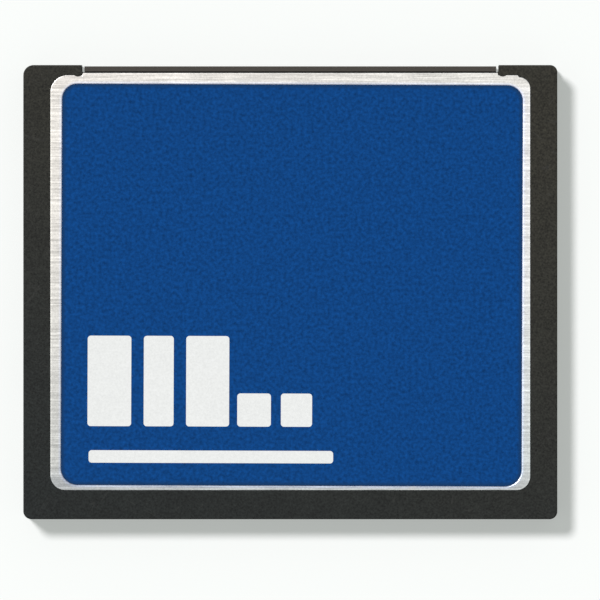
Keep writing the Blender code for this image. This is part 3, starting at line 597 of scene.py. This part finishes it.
mouldedBlack = makeMouldedBlack()
upperSteel = makeBrushedSteel("upperSteel", besideLabel=True)
lowerSteel = makeBrushedSteel("lowerSteel", besideLabel=False)
blueFilm, socketPlastic, whiteInk, capacitorTan, crystalCeramic, chipResin = [
    makeGrained(name) for name in grainedLooks]
boardGreen = makeBoardGreen()
contactGold = makeMetal("contactGold", (0.86, 0.60, 0.24), roughness=0.22, spacing=0.05, contrast=0.05)
tinnedLead = makeMetal("tinnedLead", (0.66, 0.66, 0.64), roughness=0.35, spacing=0.08, contrast=0.06)
crystalCan = makeMetal("crystalCan", (0.62, 0.60, 0.56), roughness=0.3, spacing=0.06, contrast=0.08)
print("finishes ready")


# building meshes

def quarterRound(x, y, radius, startDegrees, steps):
    angles = [math.radians(startDegrees + 90 * i / steps) for i in range(steps + 1)]
    return [(x + radius * math.cos(a), y + radius * math.sin(a)) for a in angles]


def roundOver(radius, steps):
    # how far in and how far along the surface lies at each step of a rounded edge
    turns = [math.pi / 2 * i / steps for i in range(steps + 1)]
    return [(radius * (1 - math.sin(turn)), radius * (1 - math.cos(turn))) for turn in turns]


def roundedOutline(low, high, radii, steps=12, inset=0):
    # anticlockwise from the front right corner, with one radius or one for each corner
    fr, fl, rl, rr = [r - inset for r in (radii if isinstance(radii, tuple) else (radii,) * 4)]
    left, rear, right, front = low[0] + inset, low[1] + inset, high[0] - inset, high[1] - inset
    points = quarterRound(right - fr, front - fr, fr, 0, steps)
    points += quarterRound(left + fl, front - fl, fl, 90, steps)
    points += quarterRound(left + rl, rear + rl, rl, 180, steps)
    return points + quarterRound(right - rr, rear + rr, rr, 270, steps)


def atHeight(outline, z):
    return [(x, y, z) for x, y in outline]


def roundedPlate(low, high, radii, roundOff, steps, cornerSteps=12):
    # rings from the underside up, with both rims rounded over
    rim = roundOver(roundOff, steps)
    levels = [(inset, low[2] + rise) for inset, rise in rim]
    levels += [(inset, high[2] - rise) for inset, rise in reversed(rim)]
    return [atHeight(roundedOutline(low, high, radii, cornerSteps, inset), z) for inset, z in levels]


def boxRings(one, other):
    # two opposite corners, in any order
    (left, right), (rear, front), (bottom, top) = (sorted(pair) for pair in zip(one, other))
    outline = [(right, rear), (right, front), (left, front), (left, rear)]
    return [atHeight(outline, bottom), atHeight(outline, top)]


def lofted(rings, bm=None, place=Matrix()):
    # skin through rings of matching points, filled at both ends, in a new mesh or a given one
    bm = bmesh.new() if bm is None else bm
    rows = [[bm.verts.new(place @ Vector(point)) for point in ring] for ring in rings]
    for one, two in zip(rows, rows[1:]):
        for i in range(len(one)):
            j = (i + 1) % len(one)
            bm.faces.new((one[i], one[j], two[j], two[i]))
    bm.faces.new(rows[-1])
    bm.faces.new(reversed(rows[0]))
    return bm


def addRounded(bm, low, high, corner, roundOff, steps=2, place=Matrix()):
    # small block with rounded corners and rims
    lofted(roundedPlate(low, high, corner, roundOff, steps, steps), bm, place)


def smooth(mesh, below):
    mesh.shade_smooth()
    mesh.set_sharp_from_angle(angle=math.radians(below))


def showMesh(name, bm, finish=None, smoothBelow=40):
    # closed mesh made into a piece that is smooth but for its sharp edges
    bmesh.ops.recalc_face_normals(bm, faces=bm.faces)
    mesh = bpy.data.meshes.new(name)
    bm.to_mesh(mesh)
    bm.free()
    if finish:
        mesh.materials.append(finish)
    smooth(mesh, smoothBelow)
    return placed(name, mesh)


def slab(name, outline, bottom, top):
    return showMesh(name, lofted([atHeight(outline, bottom), atHeight(outline, top)]))


def block(name, one, other):
    return showMesh(name, lofted(boxRings(one, other)))


def rod(name, x, y, halfWidth, halfDepth, bottom, top, steps=32):
    turns = [2 * math.pi * i / steps for i in range(steps)]
    ring = [(x + halfWidth * math.cos(turn), y + halfDepth * math.sin(turn)) for turn in turns]
    return slab(name, ring, bottom, top)


def rodPair(name, x, *places):
    # one on each side of the card
    return [rod(f"{name}{side}", side * x, *places) for side in (-1, 1)]


def carve(piece, tools, operation="DIFFERENCE"):
    for tool in tools:
        modifier = piece.modifiers.new(tool.name, "BOOLEAN")
        modifier.operation = operation
        modifier.solver = "EXACT"
        modifier.object = tool


def soften(piece, width, steps=2, sharperThan=40):
    bevel = piece.modifiers.new("softened", "BEVEL")
    bevel.width = width
    bevel.segments = steps
    bevel.limit_method = "ANGLE"
    bevel.angle_limit = math.radians(sharperThan)
    bevel.use_clamp_overlap = True


def settle(piece, smoothBelow=40):
    # the modifiers' result becomes the mesh, and the tools that made it go
    graph = bpy.context.evaluated_depsgraph_get()
    done = bpy.data.meshes.new_from_object(piece.evaluated_get(graph))
    tools = [m.object for m in piece.modifiers if m.type == "BOOLEAN"]
    piece.modifiers.clear()
    finish = piece.material_slots[0].material
    piece.data = done
    done.materials.clear()
    done.materials.append(finish)
    done.polygons.foreach_set("material_index", [0] * len(done.polygons))
    smooth(done, smoothBelow)
    for tool in tools:
        bpy.data.objects.remove(tool)


def evenShading(mesh):
    # flat faces stay flat up to their rounded rims; the weights are worked out on a copy in
    # millimetres, because the modifier takes areas as small as these for equal
    larger = mesh.copy()
    larger.transform(Matrix.Scale(1 / mm, 4))
    model = placed("larger", larger)
    weigh = model.modifiers.new("even shading", "WEIGHTED_NORMAL")
    weigh.keep_sharp = True
    weighed = model.evaluated_get(bpy.context.evaluated_depsgraph_get()).data
    normals = [tuple(corner.vector) for corner in weighed.corner_normals]
    bpy.data.objects.remove(model)
    bpy.data.meshes.remove(larger)
    mesh.normals_split_custom_set(normals)


def standIn(piece, slot, *nodes):
    evenShading(piece.data)
    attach(piece, "root")
    if nodes:
        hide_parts(*nodes)


frameSpec = {
    "corners": (0.57 * mm, 0.82 * mm, 0.65 * mm, 0.62 * mm),
    "edgeRound": 0.12 * mm,
    "edgeSteps": 4,
    "carvedEdge": 0.035 * mm,
    "shelf": 0.9 * mm,
    "boardCorner": 0.8 * mm,
    "slotLength": 25.78 * mm,
    "slotDepth": 1.01 * mm,
    "slotHeights": {-1: 1.6 * mm, 1: 0.99 * mm},
    "nailHalf": 13.0 * mm,      # thumbnail groove on the underside
    "nailWidth": 1.01 * mm,
    "nailDepth": 0.63 * mm,
    "nailFromRear": 0.76 * mm,
    "nailCorner": 0.4 * mm,
    "pegRadius": 0.6 * mm,
    "pegRise": 0.9 * mm,
    "nubDrop": 0.05 * mm,
}
coverSpec = {
    "corners": (1.36 * mm, 1.20 * mm, 1.10 * mm),   # front left, rear left, rear right
    "shoulderRadius": 0.885 * mm,   # front right corner, which has a small shoulder
    "shoulderDrop": 0.17 * mm,
    "shoulderRun": 0.13 * mm,
    "edgeRoll": 0.05 * mm,      # rounding where the die sheared the sheet
    "rollSteps": 4,
    "burrRound": 0.02 * mm,
    "bendRadius": 0.1 * mm,     # where the rim turns down into the recess
    "bendSteps": 6,
    "wallGap": 0.008 * mm,      # label's edge to the recess wall
    "wallThickness": 0.15 * mm,
    "tabFromEnd": 5.7 * mm,
    "tabLength": 3.0 * mm,
    "tabDrop": 1.2 * mm,
    "tabCorner": 0.35 * mm,
    "tabSteps": 6,
    "smoothBelow": 35,          # degrees
}


def coverOutline(inset, steps=12):
    # a cover's edge, which comes forward between the corner blocks
    s = coverSpec
    radius, step = s["shoulderRadius"], mouthHalf - 2 * shared["fit"] - inset
    front, corner = coverHigh.y - inset, coverCornerFront - inset
    bendX, bendY = coverHigh.x - radius, coverCornerFront - s["shoulderDrop"] - radius
    points = quarterRound(bendX, bendY, radius - inset, 0, steps)
    points.append((bendX - s["shoulderRun"] - inset / 2, corner))
    points += [(step, corner), (step, front), (-step, front), (-step, corner)]
    return points + roundedOutline(
        (-coverHigh.x, coverLow.y), (coverHigh.x, coverCornerFront), (0, *s["corners"]), steps,
        inset)[steps + 1:]


def tabMiddles():
    first = coverLow.y + coverSpec["tabFromEnd"]
    last = coverCornerFront - coverSpec["tabFromEnd"]
    return [(side, first + (last - first) * i / 2) for side in (-1, 1) for i in range(3)]


def makeFrame():
    s, past, fit = frameSpec, shared["past"], shared["fit"]
    below, above = -past, cardTop + past
    rings = roundedPlate(frameLow, frameHigh, s["corners"], s["edgeRound"], s["edgeSteps"])
    piece = showMesh("frame_moulding", lofted(rings), mouldedBlack)
    shelfHalf, shelfRear = windowHalf - s["shelf"], windowRear + s["shelf"]
    shelfTop = boardLow.z - shared["seat"]
    window = roundedOutline((-windowHalf, windowRear), (windowHalf, blockRear), s["boardCorner"])
    rebate = coverOutline(-fit)
    tools = [
        block("shelfWindow", (-shelfHalf, shelfRear, below), (shelfHalf, blockRear, above)),
        slab("boardWindow", window, shelfTop, above),
        block("socketWindow", (-windowHalf, housingLow.y - shared["seat"], below),
              (windowHalf, blockRear, above)),
        block("mouth", (-mouthHalf, blockRear - past, below), (mouthHalf, frameHigh.y + past, above)),
        slab("topRebate", rebate, ledgeTop, above),
        slab("bottomRebate", rebate, below, cardTop - ledgeTop),
    ]
    for side, height in s["slotHeights"].items():
        tools.append(block(
            f"guideSlot{side}",
            (side * (frameHigh.x - s["slotDepth"]), frameHigh.y - s["slotLength"], middleZ - height / 2),
            (side * (frameHigh.x + past), frameHigh.y + past, middleZ + height / 2)))
    nailRear = frameLow.y + s["nailFromRear"]
    groove = roundedOutline(
        (-s["nailHalf"], nailRear), (s["nailHalf"], nailRear + s["nailWidth"]), s["nailCorner"])
    tools.append(slab("nailGroove", groove, below, frameLow.z + s["nailDepth"]))
    half = coverSpec["tabLength"] / 2 + fit
    for number, (side, y) in enumerate(tabMiddles()):
        tools.append(block(
            f"tabPocket{number}", (side * coverHigh.x, y - half, cardTop - ledgeTop - fit),
            (side * (coverHigh.x - shared["sheet"] - 2 * fit), y + half, ledgeTop + fit)))
    carve(piece, tools)
    nubs = rodPair("nub", *nubPlace, *shared["nubHalf"], frameLow.z + s["nubDrop"],
                   frameHigh.z - s["nubDrop"])
    pegs = rodPair("peg", windowHalf, pegY, s["pegRadius"], s["pegRadius"],
                   shelfTop - shared["sheet"], shelfTop + s["pegRise"])
    carve(piece, nubs + pegs, "UNION")
    soften(piece, s["carvedEdge"])
    settle(piece)
    standIn(piece, "frame_plastic", "frame")
    print("frame moulded:", len(piece.data.polygons), "faces")


def recessOutline(grow, steps=12):
    # edge of the label's recess, with as many points as the cover's edge
    points = roundedOutline(labelLow, labelHigh, shared["labelCorners"], steps, -grow)
    right, left, front = points[steps][0], points[steps + 1][0], labelHigh[1] + grow
    gaps = len(coverOutline(0, steps)) - len(points) + 1
    forward = [(right + (left - right) * i / gaps, front) for i in range(1, gaps)]
    outline = points[:steps + 1] + forward + points[steps + 1:]
    return [tuple((turnedLabel @ Vector((x, y, 0)))[:2]) for x, y in outline]


def coverUnderside():
    # the sheet's lower face, from the middle of the recess to its cut edge
    s = coverSpec
    low, outer = cardTop - shared["sheet"], s["wallGap"] + s["wallThickness"]
    rings = [atHeight(recessOutline(outer - out), low - shared["recessDepth"] + rise)
             for out, rise in roundOver(s["bendRadius"], s["bendSteps"])]
    return rings + [
        atHeight(recessOutline(outer + s["bendRadius"] / 2), low),
        atHeight(coverOutline(s["burrRound"]), low),
        atHeight(coverOutline(0), low + s["burrRound"])]


def coverSkin():
    # its upper face, from the cut edge to the middle of the recess
    s = coverSpec
    rings = [atHeight(coverOutline(inset), cardTop - drop)
             for drop, inset in roundOver(s["edgeRoll"], s["rollSteps"])]
    rings += [atHeight(recessOutline(s["wallGap"] + out), cardTop - drop)
              for out, drop in roundOver(s["bendRadius"], s["bendSteps"])]
    return rings + [atHeight(recessOutline(s["wallGap"]), recessFloor)]


def makeCover(name, node, turnedOver):
    s = coverSpec
    finish = lowerSteel if turnedOver else upperSteel
    piece = showMesh(name, lofted(coverUnderside() + coverSkin()), finish, s["smoothBelow"])
    low, top = cardTop - shared["sheet"] - s["tabDrop"], cardTop - shared["sheet"] / 2
    outer = coverHigh.x - shared["fit"]
    half, corner = s["tabLength"] / 2, s["tabCorner"]
    tabs = []
    for number, (side, y) in enumerate(tabMiddles()):
        # seen from the side: square at the top, rounded at the tip
        profile = quarterRound(y - half + corner, low + corner, corner, 180, s["tabSteps"])
        profile += quarterRound(y + half - corner, low + corner, corner, 270, s["tabSteps"])
        profile += [(y + half, top), (y - half, top)]
        rings = [[(side * x, py, pz) for py, pz in profile] for x in (outer - shared["sheet"], outer)]
        tabs.append(showMesh(f"tab{number}", lofted(rings)))
    carve(piece, tabs, "UNION")
    notch = [size + shared["fit"] for size in shared["nubHalf"]]
    carve(piece, rodPair("nubNotch", *nubPlace, *notch, cardTop - shared["sheet"] - shared["past"],
                         cardTop + shared["past"]))
    settle(piece, s["smoothBelow"])
    if turnedOver:
        piece.data.transform(
            Matrix.Translation((0, 0, cardTop)) @ Matrix.Rotation(math.pi, 4, "Y"))
    standIn(piece, "cover_steel", node)
    print(name, "pressed:", len(piece.data.polygons), "faces")


labelSpec = {"edgeRound": 0.03 * mm, "edgeSteps": 3}


def makeLabel():
    rings = roundedPlate(
        (*labelLow, filmLow.z), (*labelHigh, filmHigh.z), shared["labelCorners"],
        labelSpec["edgeRound"], labelSpec["edgeSteps"])
    piece = showMesh("label_film", lofted(rings, place=turnedLabel), blueFilm)
    standIn(piece, "label_film", "front_label")
    print("label laid")


# fields of white on the label, as millimetres from the label's left and rear edges
printSpec = {
    "thickness": 0.008 * mm,
    "corner": 0.25 * mm,
    "cornerSteps": 6,
    "fields": {
        "print_bars": [
            (2.11, 4.71, 5.61, 11.96), (6.61, 4.71, 9.01, 11.96), (10.01, 4.71, 13.46, 11.96)],
        "print_squares": [(14.11, 4.71, 16.81, 7.37), (17.61, 4.71, 20.11, 7.37)],
        "print_rule": [(2.21, 1.78, 21.81, 2.78)],
    },
}


def makePrint():
    s = printSpec
    x, y = labelLow
    for name, fields in s["fields"].items():
        joined = bmesh.new()
        for left, rear, right, front in fields:
            outline = roundedOutline(
                (x + left * mm, y + rear * mm), (x + right * mm, y + front * mm), s["corner"],
                s["cornerSteps"])
            rings = [atHeight(outline, filmHigh.z), atHeight(outline, filmHigh.z + s["thickness"])]
            lofted(rings, joined, turnedLabel)
        standIn(showMesh(name, joined, whiteInk), "label_film")
    print("print fields laid")


socketSpec = {
    "lipLength": 0.2 * mm,
    "lipDrop": 0.06 * mm,
    "chamfer": 0.08 * mm,
    "groove": 0.13 * mm,
    "collarSetback": 0.58 * mm,     # collar behind the nose, from the card's front
    "earGap": 0.05 * mm,        # ears to the corner blocks
    "rowFromFace": 1.015 * mm,
    "pitch": 1.27 * mm,
    "perRow": 25,
    "entry": 0.55 * mm,
    "entryDepth": 0.76 * mm,
    "leadIn": 0.85 * mm,
    "leadInDepth": 0.26 * mm,
    "cavityHeight": 0.8 * mm,
    "softEdge": 0.02 * mm,
}


def funnelRings(x, z, front):
    # four-sided: the lead-in's size at the front face, the entry's size at its depth
    s = socketSpec
    slope = (s["leadIn"] - s["entry"]) / 2 / s["leadInDepth"]
    rings = []
    for y in (front + s["leadInDepth"], front - 2 * s["leadInDepth"]):
        half = s["leadIn"] / 2 + slope * (y - front)
        rings.append([(x + a * half, y, z + b * half) for a, b in ((1, 1), (-1, 1), (-1, -1), (1, -1))])
    return rings


def makeSocket():
    s = socketSpec
    front, rear, top = housingHigh.y, housingLow.y, housingHigh.z
    lip, lipRear = top - s["lipDrop"], front - s["lipLength"]
    ribRear = coverHigh.y + s["groove"]
    # side view: upper half, then the same turned over
    profile = [
        (front, lip - s["chamfer"]), (front - s["chamfer"], lip), (lipRear, lip),
        (lipRear - s["lipDrop"] / 2, top), (ribRear, top), (ribRear, ledgeTop), (rear, ledgeTop)]
    profile += [(y, cardTop - z) for y, z in reversed(profile)]
    rings = [[(x, y, z) for y, z in profile] for x in (-noseHalf, noseHalf)]
    piece = showMesh("socket_body", lofted(rings), socketPlastic)
    collarHalf = mouthHalf - shared["fit"]
    carve(piece, [
        block("ears", (-housingHigh.x, rear, cardTop - ledgeTop),
              (housingHigh.x, blockRear - s["earGap"], ledgeTop)),
        block("collar", (-collarHalf, rear, cardTop - ledgeTop),
              (collarHalf, frameHigh.y - s["collarSetback"], ledgeTop))], "UNION")
    half, tall, past = s["entry"] / 2, s["cavityHeight"] / 2, shared["past"]
    firstX, cavityFront = -(s["perRow"] - 1) / 2 * s["pitch"], front - s["entryDepth"]
    for row in (-1, 1):
        z = middleZ + row * (middleZ - s["rowFromFace"])
        cavities, entries, funnels = bmesh.new(), bmesh.new(), bmesh.new()
        for number in range(s["perRow"]):
            x = firstX + number * s["pitch"]
            lofted(boxRings((x - half, rear - past, z - tall), (x + half, cavityFront, z + tall)), cavities)
            lofted(boxRings((x - half, cavityFront - past, z - half), (x + half, front + past, z + half)),
                   entries)
            lofted(funnelRings(x, z, front), funnels)
        carve(piece, [showMesh(f"cavities{row}", cavities), showMesh(f"entries{row}", entries),
                      showMesh(f"funnels{row}", funnels)])
    soften(piece, s["softEdge"], steps=1, sharperThan=50)
    settle(piece)
    standIn(piece, "connector_plastic", "connector_housing")
    print("socket moulded:", len(piece.data.polygons), "faces")


boardSpec = {
    "thickness": 0.6 * mm,
    "corner": 0.8 * mm,
    "edge": 0.03 * mm,
    "edgeSteps": 2,
    "pegGap": 0.08 * mm,
    "padHeight": 0.012 * mm,
    "padMargin": 0.07 * mm,     # round the foot that stands on it
}
boardTop = boardLow.z + boardSpec["thickness"]
crystalLow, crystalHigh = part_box("crystal")


def makeBoard():
    s = boardSpec
    rings = roundedPlate(
        boardLow, (boardHigh.x, boardHigh.y, boardTop), s["corner"], s["edge"], s["edgeSteps"])
    piece = showMesh("board_laminate", lofted(rings), boardGreen)
    half = frameSpec["pegRadius"] + s["pegGap"]
    carve(piece, rodPair("pegNotch", windowHalf, pegY, half, half, boardLow.z - shared["past"],
                         boardTop + shared["past"]))
    settle(piece)
    standIn(piece, "board_laminate", "circuit_board")
    print("board cut:", len(piece.data.polygons), "faces")


chipSpec = {
    "standoff": 0.06 * mm,
    "draft": 0.06 * mm,
    "corner": 0.1 * mm,
    "cornerSteps": 3,
    "edge": 0.04 * mm,
    "dotRadius": 0.5 * mm,      # moulded dot that marks the first lead
    "dotDepth": 0.06 * mm,
    "dotInset": 1.3 * mm,
    "leadWidth": 0.22 * mm,
    "leadThickness": 0.13 * mm,
    "leadReach": 0.8 * mm,
    "leadRoot": 0.2 * mm,
    "leadShoulder": 0.24 * mm,
    "leadFoot": 0.46 * mm,
    "bendCut": 0.25,            # share of each stretch that a bend takes at either end
    "bendRounds": 2,
}
chips = {
    "controller_chip": {
        "name": "controller", "fourSided": True, "pitch": 0.65 * mm, "bareCorner": 0.6 * mm, "facing": 1},
    "flash_chip_top": {
        "name": "flash_top", "fourSided": False, "pitch": 0.5 * mm, "bareCorner": 0.2 * mm, "facing": 1},
    "flash_chip_bottom": {
        "name": "flash_bottom", "fourSided": False, "pitch": 0.5 * mm, "bareCorner": 0.2 * mm,
        "facing": -1},
}
capacitorSpec = {
    "size": (0.5 * mm, 1.0 * mm, 0.5 * mm),
    "endLength": 0.24 * mm,
    "endProud": 0.012 * mm,     # the metal ends over the ceramic between them
    "edge": 0.04 * mm,
    "fromCrystal": 4.8 * mm,
    "frontCount": 6,
    "frontPitch": 2.0 * mm,
    "fromController": 2.6 * mm,
    "middleCount": 5,
    "middlePitch": 2.4 * mm,
}


def capacitorPlaces():
    s = capacitorSpec
    rowX = (crystalLow.x + crystalHigh.x) / 2 + s["fromCrystal"]
    rowY = (crystalLow.y + crystalHigh.y) / 2
    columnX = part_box("controller_chip")[1].x - chipSpec["leadReach"] + s["fromController"]
    flashLow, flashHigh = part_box("flash_chip_top")
    columnY = (flashLow.y + flashHigh.y) / 2 - (s["middleCount"] - 1) / 2 * s["middlePitch"]
    return (
        [(rowX + i * s["frontPitch"], rowY) for i in range(s["frontCount"])]
        + [(columnX, columnY + i * s["middlePitch"]) for i in range(s["middleCount"])])


def makeCapacitors():
    s = capacitorSpec
    halfX, halfY, height = s["size"][0] / 2, s["size"][1] / 2, s["size"][2]
    thin, waist, edge = halfX - s["endProud"], halfY - s["endLength"], s["edge"]
    bodies, ends = bmesh.new(), bmesh.new()
    for x, y in capacitorPlaces():
        addRounded(bodies, (x - thin, y - waist, boardTop),
                   (x + thin, y + waist, boardTop + height - s["endProud"]), edge / 2, edge / 2)
        for rear in (y - halfY, y + waist - edge):
            addRounded(ends, (x - halfX, rear, boardTop),
                       (x + halfX, rear + s["endLength"] + edge, boardTop + height), edge, edge)
    standIn(showMesh("capacitor_bodies", bodies, capacitorTan), None, "circuit_board")
    standIn(showMesh("capacitor_ends", ends, tinnedLead), "crystal_case", "circuit_board")
    print("capacitors placed:", len(capacitorPlaces()))


def leadStrip(top):
    # side view of a lead: out of the package, down, and along the board
    s = chipSpec
    half, cut = s["leadThickness"] / 2, s["bendCut"]
    low = shared["seat"] + half
    line = [(-s["leadRoot"], top), (s["leadShoulder"], top),
            (s["leadReach"] - s["leadFoot"], low), (s["leadReach"], low)]
    line = [Vector(point) for point in line]
    for _ in range(s["bendRounds"]):
        bent = [line[0]]
        for one, two in zip(line, line[1:]):
            bent += [one.lerp(two, cut), one.lerp(two, 1 - cut)]
        line = bent + [line[-1]]
    upper, lower = [], []
    for before, point, after in zip(line[:1] + line, line, line[1:] + line[-1:]):
        across = (after - before).orthogonal().normalized() * half
        upper.append(point + across)
        lower.append(point - across)
    return upper + lower[::-1]


def makeChip(node, name, fourSided, pitch, bareCorner, facing):
    # built standing on a board at the origin, then set on its side of the real one
    s = chipSpec
    low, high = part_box(node)
    halfX = (high.x - low.x) / 2 - (s["leadReach"] if fourSided else 0)
    halfY = (high.y - low.y) / 2 - s["leadReach"]
    top = high.z - boardTop if facing > 0 else boardLow.z - low.z
    middle, edge, draft = (s["standoff"] + top) / 2, s["edge"], s["draft"]
    # how far in the side is at each height, with its rims rounded
    levels = [
        (draft + edge, s["standoff"]), (draft, s["standoff"] + edge), (0, middle),
        (draft - edge / 4, top - edge), (draft, top - edge / 3), (draft + edge, top)]
    rings = [atHeight(roundedOutline((inset - halfX, inset - halfY), (halfX - inset, halfY - inset),
                                     s["corner"], s["cornerSteps"]), z) for inset, z in levels]
    body = showMesh(f"{name}_body", lofted(rings), chipResin)
    carve(body, [rod(f"{name}Dot", s["dotInset"] - halfX, halfY - s["dotInset"], s["dotRadius"],
                     s["dotRadius"], top - s["dotDepth"], top + shared["past"])])
    settle(body)

    leads, pads = bmesh.new(), bmesh.new()
    strip = leadStrip(middle)
    thin, margin, padHeight = s["leadWidth"] / 2, boardSpec["padMargin"], boardSpec["padHeight"]
    for turn in (0, 90, 180, 270) if fourSided else (0, 180):
        along, out = (halfX, halfY) if turn % 180 == 0 else (halfY, halfX)
        count = int(2 * (along - bareCorner) / pitch) + 1
        turned = Matrix.Rotation(math.radians(turn), 4, "Z")
        toe = out + s["leadReach"]
        for i in range(count):
            x = (i - (count - 1) / 2) * pitch
            lofted([[(x + a, out + y, z) for y, z in strip] for a in (-thin, thin)], leads, turned)
            addRounded(pads, (x - thin - margin / 2, toe - s["leadFoot"] - margin, 0),
                       (x + thin + margin / 2, toe + margin, padHeight),
                       margin / 2, padHeight / 2, 1, turned)
    pieces = [body, showMesh(f"{name}_leads", leads, tinnedLead),
              showMesh(f"{name}_pads", pads, tinnedLead)]
    middleX, middleY = (low.x + high.x) / 2, (low.y + high.y) / 2
    place = Matrix.Translation((middleX, middleY, boardTop if facing > 0 else boardLow.z))
    if facing < 0:
        place = place @ Matrix.Rotation(math.pi, 4, "Y")
    for piece, slot in zip(pieces, ("chip_resin", "crystal_case", "crystal_case")):
        piece.data.transform(place)
        standIn(piece, slot, "circuit_board" if piece.name.endswith("pads") else node)
    print(name, "chip with leads placed")


crystalSpec = {"base": 0.35 * mm, "lidInset": 0.15 * mm, "corner": 0.3 * mm, "edge": 0.06 * mm,
               "lidSteps": 3}


def makeCrystal():
    s = crystalSpec
    base, lid = bmesh.new(), bmesh.new()
    level, inset = crystalLow.z + s["base"], s["lidInset"]
    addRounded(base, crystalLow, (crystalHigh.x, crystalHigh.y, level), s["corner"], s["edge"] / 2)
    addRounded(lid, (crystalLow.x + inset, crystalLow.y + inset, level),
               (crystalHigh.x - inset, crystalHigh.y - inset, crystalHigh.z), s["corner"], s["edge"],
               s["lidSteps"])
    standIn(showMesh("crystal_base", base, crystalCeramic), None, "crystal")
    standIn(showMesh("crystal_lid", lid, crystalCan), "crystal_case", "crystal")
    print("crystal placed")


contactSpec = {"softEdge": 0.02 * mm}
contacts = {name: node for name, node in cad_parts.items() if "_contact_" in name}


def makeTailPads():
    # tinned pads on both faces of the board under the contacts' tails
    margin, height = boardSpec["padMargin"], boardSpec["padHeight"]
    pads = bmesh.new()
    for name in contacts:
        low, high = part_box(name)
        bottom = boardTop if name.startswith("upper") else boardLow.z - height
        addRounded(pads, (low.x - margin, low.y - margin, bottom),
                   (high.x + margin, boardHigh.y - margin, bottom + height), margin, height / 2, 1)
    standIn(showMesh("tail_pads", pads, tinnedLead), "crystal_case", "circuit_board")
    print("tail pads placed")


def dressContacts():
    # the stamped forks keep their solids and lose their sharp edges
    for node in contacts.values():
        node.data.materials.clear()
        node.data.materials.append(contactGold)
        soften(node, contactSpec["softEdge"])
    print("contacts dressed")


makeFrame()
makeCover("cover_top", "top_cover", False)
makeCover("cover_bottom", "bottom_cover", True)
makeLabel()
makePrint()
makeSocket()
makeBoard()
makeCapacitors()
for node, chip in chips.items():
    makeChip(node, **chip)
makeCrystal()
makeTailPads()
dressContacts()
